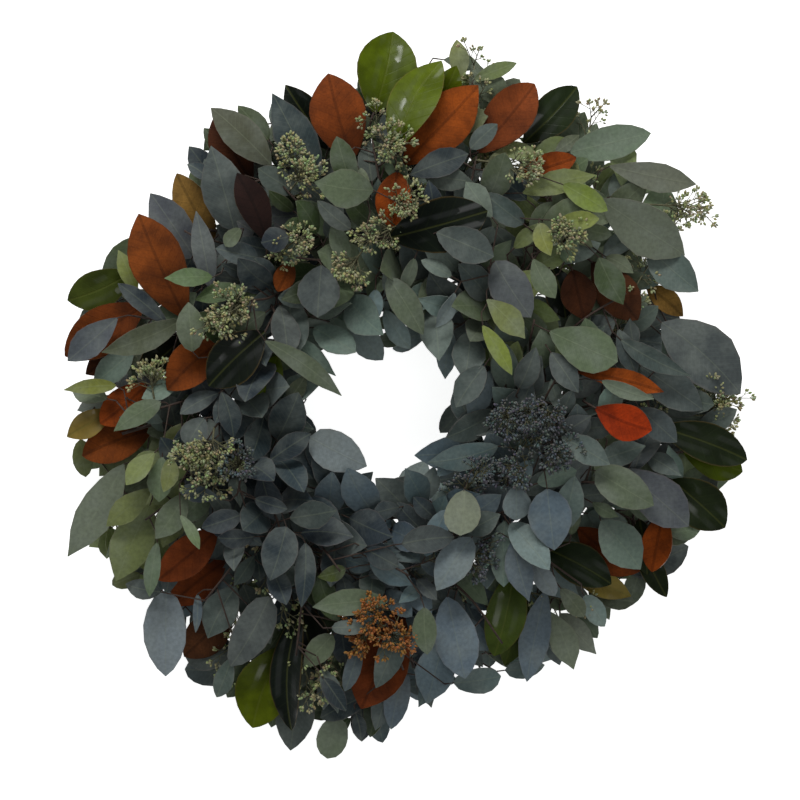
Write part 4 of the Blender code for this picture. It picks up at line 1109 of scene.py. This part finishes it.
def side_veins(tree, across, along, spacing_mm, slant, thin):
    """Veins that leave the midrib on a slant, as a share that is 1 on a vein."""
    run = add(tree, "Math", (across, -slant, along), operation="MULTIPLY_ADD")
    place = add(tree, "Math", (add(tree, "Math", (run, spacing_mm), operation="DIVIDE"),), operation="FRACT")
    away = add(tree, "Math", (add(tree, "Math", (place, 0.5), operation="SUBTRACT"),), operation="ABSOLUTE")
    return add(tree, "MapRange", (away, thin, 0.0))


def own_tone(tree, root_shade=1.0):
    """The piece's own tone, with painted shade at a leaf's root, where leaves crowd: the tone falls to a
    share of itself there.
    """
    tone = add(tree, "Attribute", output="Color", attribute_name="tone")
    return toned(tree, tone, tone.node.outputs["Alpha"], 0.0, 0.55, root_shade, 1.0)


def waxy_eucalyptus_leaf(tree):
    """Fresh eucalyptus leaf: matt, with a pale waxy bloom that rubs off in patches, and a pale midrib."""
    across, along, edge = leaf_places(tree)
    midrib = add(tree, "MapRange", (across, 0.75, 0.25))
    veins = side_veins(tree, across, along, 4.5, 0.9, 0.10)
    bloom = add(tree, "MapRange", (spots(tree, 22, 4.0), 0.42, 0.68))
    rim = add(tree, "MapRange", (edge, 0.90, 1.0))
    # Painted shade: the leaf's tone darkens to 0.78 of itself towards its root.
    skin = marked(tree, own_tone(tree, 0.78), (bloom, 0.3, "#8A9188"))
    skin = toned(tree, skin, spots(tree, 3.0, 2.0), 0.3, 0.7, 0.86, 1.12)
    skin = marked(tree, skin, (veins, 0.06, "#93A08C"), (midrib, 0.12, "#98A181"), (rim, 0.22, "#7A6A62"))
    return {
        "Base Color": skin,
        "Roughness": add(tree, "MapRange", (bloom, 0.0, 1.0, 0.52, 0.70)),
        "Specular IOR Level": 0.22,
        "Normal": relief(tree, 0.5, 0.25, (midrib, 0.6), (veins, 0.25)),
    }


def eucalyptus_leaf_underside(tree):
    """Underside of a eucalyptus leaf: the same tone, greyer, with the midrib standing out."""
    across, _, _ = leaf_places(tree)
    midrib = add(tree, "MapRange", (across, 0.8, 0.3))
    # Painted shade: the tone darkens to 0.85 of itself towards the leaf's root.
    greyer = add(tree, "Mix", {0: 0.35, 6: own_tone(tree, 0.85), 7: linear("#7E8A86")}, 2, data_type="RGBA")
    greyer = toned(tree, greyer, spots(tree, 4.0, 2.0), 0.3, 0.7, 0.88, 1.1)
    return {
        "Base Color": marked(tree, greyer, (midrib, 0.5, "#A3AB8A")),
        "Roughness": 0.68,
        "Specular IOR Level": 0.2,
        "Normal": relief(tree, 0.6, 0.3, (midrib, 1.0)),
    }


def glossy_magnolia_leaf(tree):
    """Upper side of a magnolia leaf: leathery, with a yellowish midrib and streaks of gloss beside it."""
    across, along, edge = leaf_places(tree)
    midrib = add(tree, "MapRange", (across, 1.1, 0.4))
    veins = side_veins(tree, across, along, 9.0, 0.75, 0.07)
    rim = add(tree, "MapRange", (edge, 0.93, 1.0))
    # Painted shade: the tone darkens to 0.7 of itself towards the leaf's root.
    skin = toned(tree, own_tone(tree, 0.7), spots(tree, 14, 3.0), 0.35, 0.65, 0.78, 1.2)
    skin = marked(tree, skin, (veins, 0.04, "#5C6A30"), (midrib, 0.20, "#6A6F34"), (rim, 0.4, "#6E5A32"))
    from_streak = add(tree, "Math", (across, 7.5), operation="SUBTRACT")
    beside = add(tree, "Math", (from_streak,), operation="ABSOLUTE")
    band = add(tree, "MapRange", (beside, 3.2, 1.4))
    broken = add(tree, "MapRange", (spots(tree, 24, 1.0), 0.42, 0.54, 0.0, 0.8))
    return {
        "Base Color": skin,
        "Roughness": add(tree, "MapRange", (spots(tree, 5.0, 2.0), 0.3, 0.7, 0.30, 0.42)),
        "Specular IOR Level": 0.10,
        "Coat Weight": add(tree, "Math", (band, broken), operation="MULTIPLY"),
        "Coat Roughness": 0.05,
        "Normal": relief(tree, 0.5, 0.4, (midrib, -1.0), (veins, -0.4), (spots(tree, 7.0, 2.0), 0.5)),
    }


def felted_magnolia_underside(tree):
    """Underside of a magnolia leaf: rust-brown felt with a stout midrib and raised side veins."""
    across, along, edge = leaf_places(tree)
    midrib = add(tree, "MapRange", (across, 1.5, 0.7))
    veins = side_veins(tree, across, along, 8.0, 0.75, 0.09)
    rim = add(tree, "MapRange", (edge, 0.94, 1.0))
    # Painted shade: the felt darkens to half its tone towards the leaf's root.
    felt = toned(tree, own_tone(tree, 0.5), spots(tree, 18, 4.0), 0.35, 0.65, 0.66, 1.34)
    felt = toned(tree, felt, spots(tree, 1.6, 3.0), 0.3, 0.7, 0.84, 1.14)
    felt = toned(tree, felt, veins, 0.0, 1.0, 1.0, 0.84)
    felt = toned(tree, felt, midrib, 0.0, 1.0, 1.0, 0.70)
    return {
        "Base Color": marked(tree, felt, (rim, 0.35, "#3A2A1A")),
        "Roughness": 0.8,
        "Specular IOR Level": 0.15,
        "Sheen Weight": 0.06,
        "Sheen Roughness": 0.5,
        "Normal": relief(tree, 0.6, 0.4, (midrib, 1.0), (veins, 0.4), (spots(tree, 1.2, 2.0), 0.3)),
    }


def twig_bark(tree):
    """Thin brown bark of twigs and leaf stalks, uneven in tone and slightly rough."""
    return {
        "Base Color": toned(tree, own_tone(tree), spots(tree, 2.5, 3.0), 0.3, 0.7, 0.7, 1.35),
        "Roughness": 0.75,
        "Normal": relief(tree, 0.5, 0.2, (spots(tree, 1.2, 3.0), 1.0)),
    }


def seed_bud_skin(tree):
    """Unripe seed buds: matt green-grey skins with darker beaks."""
    _, along, _ = leaf_places(tree)
    beak = add(tree, "MapRange", (along, 3.0, 4.2))
    skin = toned(tree, own_tone(tree), spots(tree, 1.5, 2.0), 0.3, 0.7, 0.78, 1.2)
    return {
        "Base Color": marked(tree, skin, (beak, 0.6, "#5C4A34")),
        "Roughness": 0.62,
        "Normal": relief(tree, 0.4, 0.15, (spots(tree, 1.0, 2.0), 1.0)),
    }


def dipped_wire(tree, code, roughness):
    """Steel wire dipped in paint: a thin clear shine, with the dip's slight unevenness."""
    return {
        "Base Color": toned(tree, linear(code), spots(tree, 6.0, 4.0), 0.35, 0.7, 0.8, 1.25),
        "Roughness": roughness,
        "Coat Weight": 0.2,
        "Coat Roughness": 0.15,
        "Normal": relief(tree, 0.3, 0.1, (spots(tree, 2.0, 2.0), 1.0)),
    }


def enamelled_frame_wire(tree):
    """The frame's thick wire in dark green enamel, with a dull shine."""
    return dipped_wire(tree, "#232B22", 0.4)


def lacquered_paddle_wire(tree):
    """The thin tying wire in green lacquer, a little glossier than the frame."""
    return dipped_wire(tree, "#1F4A27", 0.3)


def lit_paper_floor(tree):
    """White backing paper, matt and lit through, so that it looks evenly pale."""
    return {
        "Base Color": toned(tree, linear("#F6F6F5"), spots(tree, 40, 2.0), 0.3, 0.7, 0.97, 1.0),
        "Roughness": 0.9,
        "Specular IOR Level": 0.2,
        "Emission Color": linear("#FFFFFF"),
        "Emission Strength": 0.85,
    }


def material_once(finish):
    """The material of a finish, which is made at its first use and named after it."""
    name = finish.__name__
    if name in bpy.data.materials:
        return bpy.data.materials[name]
    material = bpy.data.materials.new(name)
    material.use_nodes = True
    tree = material.node_tree
    tree.nodes.clear()
    add(tree, "OutputMaterial", {"Surface": add(tree, "BsdfPrincipled", finish(tree))})
    return material


def tone_value(context, name):
    return tuple(getattr(context.scene.wreath_tones, name))


class WREATH_OT_wire_frame(bpy.types.Operator):
    """Round steel wires: four rings on six bent cross wires"""

    bl_idname = "wreath.wire_frame"
    bl_label = "Wire frame"

    def execute(self, context):
        shape = new_shape()
        tone = linear("#26301F")
        for radius, height in zip(RAISED_RINGS + LOW_RINGS, (RAISED_HEIGHT,) * 2 + (LOW_HEIGHT,) * 2):
            centre = RING_CENTRE + Vector((0, 0, height))
            turn = Matrix.Rotation(math.radians(90), 4, "X")
            place = Matrix.Translation(centre + Vector((radius, 0, 0))) @ turn
            thick = FRAME_WIRE if height == RAISED_HEIGHT else LOW_RING_WIRE
            made = len(shape.edges)
            ring = bmesh.ops.create_circle(shape, segments=8, radius=thick, matrix=place)
            start = ring["verts"] + shape.edges[:][made:]
            bmesh.ops.spin(
                shape, geom=start, cent=centre, axis=(0, 0, 1), angle=math.tau, steps=96, use_merge=True
            )
        for index in range(CROSS_WIRES):
            angle = FIRST_CROSS_WIRE + index * 360 / CROSS_WIRES
            radii = (RAISED_RINGS[0], LOW_RINGS[0] - 0.004, LOW_RINGS[1] + 0.004, RAISED_RINGS[1])
            heights = (RAISED_HEIGHT, CROSS_WIRE, CROSS_WIRE, RAISED_HEIGHT)
            corners = [polar(angle, radius, height) for radius, height in zip(radii, heights)]
            path = []
            for a, b in zip(corners, corners[1:]):
                path += [a.lerp(b, share) for share in (0.0, 0.12, 0.5, 0.88)]
            add_tube(shape, path + [corners[-1]], [CROSS_WIRE] * (len(path) + 1), 8, tone)
        close_tubes(shape)
        finish_piece("frame_rings", shape, [material_once(enamelled_frame_wire)], "wire_frame")
        return {"FINISHED"}


class WREATH_OT_paddle_wire(bpy.types.Operator):
    """Thin green wire that ties each bunch down"""

    bl_idname = "wreath.paddle_wire"
    bl_label = "Paddle wire"

    def execute(self, context):
        trough = (LOW_RINGS[0] + LOW_RINGS[1]) / 2
        floor = FRAME_WIRE * 2 + GAP + PADDLE_WIRE
        under = PADDLE_WIRE + 0.0001
        over = RAISED_HEIGHT + WIRE_FLAT + GAP + PADDLE_WIRE
        beside = FRAME_WIRE + GAP * 2 + PADDLE_WIRE
        inner = RAISED_RINGS[0] * math.cos(math.pi / 24)
        section = (
            (trough + 0.0030, floor),
            (trough + 0.0035, over + 0.0015),
            (RAISED_RINGS[1] + 0.0008, over + 0.0006),
            (RAISED_RINGS[1] + beside + 0.0006, RAISED_HEIGHT),
            (LOW_RINGS[1] + 0.0050, under),
            (LOW_RINGS[0] - 0.0050, under),
            (inner - beside - 0.0006, RAISED_HEIGHT),
            (inner - 0.0008, over + 0.0006),
            (trough + 0.0030, over + 0.0015),
            (trough + 0.0035, floor),
        )
        path = []
        for index in range(TIES):
            angle = tie_angle(index) - TURN_ANGLE / 2
            for step, (radius, z) in enumerate(section):
                path.append(polar(angle + TURN_ANGLE * step / (len(section) - 1), radius, z))
            if index < TIES - 1:
                path.append(polar(angle + (TIE_STEP + TURN_ANGLE) / 2, trough, floor))
        shape = new_shape()
        add_tube(shape, path, [PADDLE_WIRE] * len(path), 6, linear("#1C4A24"))
        close_tubes(shape)
        materials = [material_once(lacquered_paddle_wire)]
        finish_piece("tying_wire", shape, materials, "paddle_wire")
        return {"FINISHED"}


@functools.cache
def leaf_plan(most_fillers):
    """Every leaf of the wreath by the node it belongs to, and the side twigs of each bunch."""
    found = listed_blades(Solids())
    return found, fill_between(found, most_fillers)


def leafy_piece(context, owner, finishes, thickness, stems):
    """One bunch or sprig: its leaves with their stalks, on its stems."""
    blades = leaf_plan(context.scene.wreath_sizes.filler_leaves)[0][owner]
    brown = tone_value(context, "bark")
    blade_shape = new_shape()
    stem_shape = new_shape()
    for number, blade in enumerate(blades):
        add_blade(blade_shape, blade, tone_value(context, blade.tone), f"{owner} look {number}")
        path = stalk_path(blade)
        thick = [blade.form.stalk * share for share in (1.15, 1.0, 0.9, 0.8, 0.6)[: len(path) - 1]]
        add_tube(stem_shape, path, thick + [blade.form.stalk * 0.3], 5, brown)
    for path, radii, sides in stems:
        add_tube(stem_shape, path, radii, sides, brown)
    thicken(blade_shape, thickness)
    close_tubes(stem_shape)
    join_shape(blade_shape, stem_shape, 2)
    materials = [material_once(finish) for finish in (*finishes, twig_bark)]
    finish_piece(owner.replace("_", "_leafy_", 1), blade_shape, materials, owner)


def bunch_stems(index, twigs):
    """The cut ends of a bunch in its tie with their stems, then its twigs: each its path, radii and sides."""
    angle = tie_angle(index)
    draw = random.Random(f"bunch {index} tails")
    stems = []
    spots_in_tie = ((-1.7, -1.6), (1.7, -1.6), (-1.7, 1.7), (1.7, 1.7))
    for (across_mm, high_mm), route in zip(spots_in_tie, bunch_routes(index)):
        turn = angle - 6.0 + draw.uniform(-0.8, 0.4)
        tail = polar(turn, BUNDLE_RADIUS + across_mm / 1000, BUNDLE_HEIGHT + high_mm / 1000)
        path = smooth_route([tail, tail.lerp(route[0], 0.5)] + route, 4)
        stems.append((path, tapered(EUCALYPTUS_STEM, 0.5, path), 7))
    for path, share in twigs:
        path = smooth_route(path, 3)
        path = path[: max(3, round(share * (len(path) - 1)) + 1)]
        stems.append((path, [TWIG * (1 - 0.4 * step / len(path)) for step in range(len(path))], 5))
    return stems


class WREATH_OT_eucalyptus(bpy.types.Operator):
    """Sixteen bunches of eucalyptus, tied down by their cut ends"""

    bl_idname = "wreath.eucalyptus"
    bl_label = "Eucalyptus bunches"

    def execute(self, context):
        sizes = context.scene.wreath_sizes
        twigs = leaf_plan(sizes.filler_leaves)[1]
        finishes = (waxy_eucalyptus_leaf, eucalyptus_leaf_underside)
        for index, owner in enumerate(BUNCHES):
            stems = bunch_stems(index, twigs[owner])
            leafy_piece(context, owner, finishes, sizes.eucalyptus_thickness, stems)
        return {"FINISHED"}


class WREATH_OT_magnolia(bpy.types.Operator):
    """Sixteen sprigs of magnolia, one beside each bunch"""

    bl_idname = "wreath.magnolia"
    bl_label = "Magnolia sprigs"

    def execute(self, context):
        thickness = context.scene.wreath_sizes.magnolia_thickness
        finishes = (glossy_magnolia_leaf, felted_magnolia_underside)
        for index, owner in enumerate(SPRIGS):
            path = smooth_route(sprig_route(index), 4)
            stems = [(path, tapered(MAGNOLIA_STEM, 0.4, path), 8)]
            leafy_piece(context, owner, finishes, thickness, stems)
        return {"FINISHED"}


def spray_path(owner, centre, solids):
    """The stalk of a seed spray and its twigs, as the solids hold them."""
    beds = (
        (SPRIG_RADIUS, BED + SPRIG_FLAT * 2 + SPRAY_STEM + 0.0005 + 0.0001),
        (BUNDLE_RADIUS + 0.0038 + SPRAY_STEM + GAP, BUNDLE_HEIGHT),
    )
    for index in range(TIES):
        tie = tie_angle(index)
        for radius, height in beds:
            tail = [polar(tie - 3.0, radius, height), polar(tie + 2.5, radius, height)]
            for trial in range(TRIALS):
                draw = random.Random(f"{owner} {trial}")
                swing = draw.uniform(-2.0, 2.0)
                out = radius + draw.uniform(-0.006, 0.006)
                knee = polar(tie + 5.5 + swing, out, draw.uniform(0.026, 0.040))
                sway = Vector((draw.uniform(-0.012, 0.012), draw.uniform(-0.012, 0.012), 0.010))
                path = tail + [knee, knee.lerp(centre, 0.5) + sway, centre]
                twigs = []
                for step in range(4):
                    share = 0.80 + 0.20 * step / 3
                    at, way = branchlet(path, share, step * 2.4 + draw.uniform(-0.3, 0.3))
                    twigs.append((at, way, BRANCHLET_LENGTH))
                if all(solids.owner(at + way * BRANCHLET_LENGTH, owner) for at, way, _ in twigs):
                    return path, twigs
    raise RuntimeError(f"{owner} isn't in the packed frame as expected")


def branchlet(path, share, turn):
    """Where a side twig of a spray starts and where it heads."""
    at = along_runs(path, share)
    along = (path[-1] - path[-2]).normalized()
    side = along.cross(SHEET_NORMAL).normalized()
    away = side * math.cos(turn) + side.cross(along) * math.sin(turn)
    return at, (along * 0.75 + away).normalized()


def make_buds(buds):
    """All the buds of a piece: one teardrop with its short stalk, doubled until there are enough."""
    shape = new_shape()
    numbers = shape.verts.layers.int.new("number")
    ball = bmesh.ops.create_icosphere(shape, subdivisions=1, radius=0.5)
    bmesh.ops.translate(shape, verts=ball["verts"], vec=(0, 0, 0.5))
    stalk = bmesh.ops.create_cone(shape, cap_ends=True, segments=3, radius1=0.10, radius2=0.08, depth=1.1)
    bmesh.ops.translate(shape, verts=stalk["verts"], vec=(0, 0, -0.45))
    made = 1
    while made < len(buds):
        more = min(made, len(buds) - made)
        chosen = [vertex for vertex in shape.verts if vertex[numbers] < more]
        faces = [face for face in shape.faces if face.verts[0][numbers] < more]
        edges = [edge for edge in shape.edges if edge.verts[0][numbers] < more]
        for part in bmesh.ops.duplicate(shape, geom=chosen + edges + faces)["geom"]:
            if isinstance(part, bmesh.types.BMVert):
                part[numbers] += made
        made += more
    tones = shape.verts.layers.float_color["tone"]
    places = shape.verts.layers.float_vector["leaf"]
    sides = [bud.way.orthogonal().normalized() for bud in buds]
    others = [bud.way.cross(side) for bud, side in zip(buds, sides)]
    for vertex in shape.verts:
        number = vertex[numbers]
        bud = buds[number]
        x, y, z = vertex.co
        slim = bud.width * (1.12 - 0.45 * max(z, 0.0))
        run = bud.length * z if z > 0 else bud.reach * z
        vertex.co = bud.at + sides[number] * (x * slim) + others[number] * (y * slim) + bud.way * run
        vertex[places] = (0, max(z, 0.0) * 4.2, 0)
        vertex[tones] = bud.tone
    for face in shape.faces:
        face.smooth = True
    return shape


def budded_piece(context, name, clusters, node):
    """Seed clusters in one piece: each its path, its twigs, how many more twigs, its draws and its tone."""
    sizes = context.scene.wreath_sizes
    buds = []
    stalks = new_shape()
    for path, twigs, more, draw, tone in clusters:
        add_cluster(buds, stalks, path, twigs, more, draw, sizes, tone_value(context, tone))
    close_tubes(stalks)
    shape = make_buds(buds)
    join_shape(shape, stalks, 1)
    finish_piece(name, shape, [material_once(seed_bud_skin), material_once(twig_bark)], node)


class WREATH_OT_seeds(bpy.types.Operator):
    """Sixteen sprays of seed buds on thin branched stalks, and tufts of them on the bunches"""

    bl_idname = "wreath.seeds"
    bl_label = "Seed sprays"

    def execute(self, context):
        solids = Solids()
        for number, (pixel, level, tone) in enumerate(SEED_SPRAYS):
            owner = f"seed_spray_{number + 1:02d}"
            path, twigs = spray_path(owner, in_foliage(pixel, level), solids)
            cluster = (path, twigs, 17, random.Random(f"{owner} buds"), tone)
            budded_piece(context, owner.replace("_", "_budded_", 1), [cluster], owner)
        stems = stem_tree()[0]
        tufts = []
        for number, (pixel, level, tone) in enumerate(SEED_TUFTS):
            centre = in_foliage(pixel, level)
            start = stems.find(centre - Vector((0, 0, 0.012)))[0]
            rise = Vector((0, 0, 0.10 * (centre - start).length))
            path = [start, start.lerp(centre, 0.33) + rise, start.lerp(centre, 0.7) + rise, centre]
            tufts.append((path, [], 14, random.Random(f"tuft {number}"), tone))
        budded_piece(context, "seed_tufts_on_bunches", tufts, None)
        return {"FINISHED"}


def add_cluster(buds, stalks, path, twigs, more, draw, sizes, tone):
    """The stalk of a seed cluster, its side twigs and their buds."""
    green_wood = linear(GREEN_WOOD)
    along = (path[-1] - path[-2]).normalized()
    for step in range(more):
        share = 0.62 + 0.38 * step / (more - 1)
        at, way = branchlet(path, share, step * 2.4 + 1.2 + draw.uniform(-0.4, 0.4))
        way = (way + along * draw.uniform(-0.4, 1.4)).normalized()
        twigs.append((at, way, draw.uniform(0.010, 0.027)))
    smooth = smooth_route(path, 4)
    add_tube(stalks, smooth, tapered(SPRAY_STEM, 0.4, smooth), 6, green_wood)
    for at, way, reach in twigs:
        end = at + way * (reach * 0.86)
        middle = at.lerp(end, 0.5) + Vector((0, 0, draw.uniform(-0.001, 0.0015)))
        add_tube(stalks, [at, middle, end], [0.0006, 0.0005, 0.0004], 4, green_wood)
        add_umbel(buds, end, way, 6, draw, sizes, tone)
        for share, hand in ((0.35, 1), (0.65, -1)):
            side = way.cross(SHEET_NORMAL).normalized()
            branch = (way + side * (0.9 * hand) + Vector((0, 0, draw.uniform(-0.3, 0.6)))).normalized()
            fork = at.lerp(end, share) + branch * draw.uniform(0.004, 0.008)
            add_tube(stalks, [at.lerp(end, share), fork], [0.0004, 0.0003], 4, green_wood)
            add_umbel(buds, fork, branch, 3, draw, sizes, tone)


def add_umbel(buds, at, way, count, draw, sizes, tone):
    """A few buds on short stalks from one point."""
    side = way.orthogonal().normalized()
    other = way.cross(side)
    for step in range(count):
        turn = step * 2.4 + draw.uniform(-0.4, 0.4)
        spread = 0.2 + 0.9 * step / count
        heading = (way + (side * math.cos(turn) + other * math.sin(turn)) * spread).normalized()
        reach = draw.uniform(0.0015, 0.0035)
        size = draw.uniform(0.8, 1.15)
        shade = [part * draw.uniform(0.8, 1.2) for part in tone[:3]] + [1.0]
        long, wide = sizes.bud_length * size, sizes.bud_width * size
        buds.append(Bud(at + heading * reach, heading, reach, long, wide, shade))


class WREATH_OT_stage(bpy.types.Operator):
    """Pale floor, soft light and a camera that looks straight down on the wreath"""

    bl_idname = "wreath.stage"
    bl_label = "Floor, light and camera"

    def execute(self, context):
        scene = context.scene
        shape = bmesh.new()
        bmesh.ops.create_grid(shape, x_segments=1, y_segments=1, size=20)
        bmesh.ops.translate(shape, verts=shape.verts[:], vec=(0, 0, -0.0003))
        mesh = bpy.data.meshes.new("floor")
        shape.to_mesh(mesh)
        shape.free()
        mesh.materials.append(material_once(lit_paper_floor))
        floor = bpy.data.objects.new("floor", mesh)
        scene.collection.objects.link(floor)

        world = bpy.data.worlds.new("soft_room")
        world.use_nodes = True
        tree = world.node_tree
        tree.nodes.clear()
        seen = add(tree, "Background", {"Color": linear("#F7F8F9"), "Strength": 0.95})
        lights = add(tree, "Background", {"Color": linear("#EDF1F5"), "Strength": 0.29})
        either = add(tree, "MixShader", (add(tree, "LightPath", output="Is Camera Ray"), lights, seen))
        add(tree, "OutputWorld", {"Surface": either})
        scene.world = world
        for name, spot, size, watts in (
            ("window", (-0.5, 2.1, 1.7), (1.5, 0.7), 41),
            ("ceiling", (0.9, -0.3, 2.6), (1.6, 1.6), 8),
        ):
            light = bpy.data.lights.new(name, "AREA")
            light.shape = "RECTANGLE"
            light.size, light.size_y = size
            light.energy = watts
            lamp = bpy.data.objects.new(name, light)
            lamp.location = spot
            lamp.rotation_euler = (Vector((0, 0, 0.05)) - Vector(spot)).to_track_quat("-Z", "Y").to_euler()
            scene.collection.objects.link(lamp)

        camera = bpy.data.cameras.new("camera")
        viewer = bpy.data.objects.new("camera", camera)
        distance = scene.wreath_sizes.camera_distance
        across = 800 * PIXEL
        camera.sensor_width = 36
        camera.lens = 36 * distance / across
        camera.clip_end = 60
        viewer.location = on_plan((400, 400), 0.055 + distance)
        scene.collection.objects.link(viewer)
        scene.camera = viewer
        scene.view_settings.view_transform = "Standard"
        return {"FINISHED"}


class WREATH_PT_panel(bpy.types.Panel):
    """Sizes, tones and the steps that build the wreath"""

    bl_idname = "WREATH_PT_panel"
    bl_label = "Wreath"
    bl_space_type = "VIEW_3D"
    bl_region_type = "UI"
    bl_category = "Wreath"

    def draw(self, context):
        for group in (context.scene.wreath_sizes, context.scene.wreath_tones):
            for name in group.bl_rna.properties.keys():
                if name not in ("rna_type", "name"):
                    self.layout.prop(group, name)
        for operator in OPERATORS:
            self.layout.operator(operator.bl_idname)


OPERATORS = (
    WREATH_OT_stage,
    WREATH_OT_wire_frame,
    WREATH_OT_paddle_wire,
    WREATH_OT_eucalyptus,
    WREATH_OT_magnolia,
    WREATH_OT_seeds,
)
CLASSES = (WreathSizes, WreathTones, *OPERATORS, WREATH_PT_panel)


def register():
    for made in CLASSES:
        bpy.utils.register_class(made)
    bpy.types.Scene.wreath_sizes = bpy.props.PointerProperty(type=WreathSizes)
    bpy.types.Scene.wreath_tones = bpy.props.PointerProperty(type=WreathTones)


def unregister():
    del bpy.types.Scene.wreath_tones
    del bpy.types.Scene.wreath_sizes
    for made in reversed(CLASSES):
        bpy.utils.unregister_class(made)


def main():
    register()
    bpy.ops.wreath.stage()
    bpy.ops.wreath.wire_frame()
    bpy.ops.wreath.paddle_wire()
    bpy.ops.wreath.eucalyptus()
    bpy.ops.wreath.magnolia()
    bpy.ops.wreath.seeds()


if __name__ == "__main__":
    main()
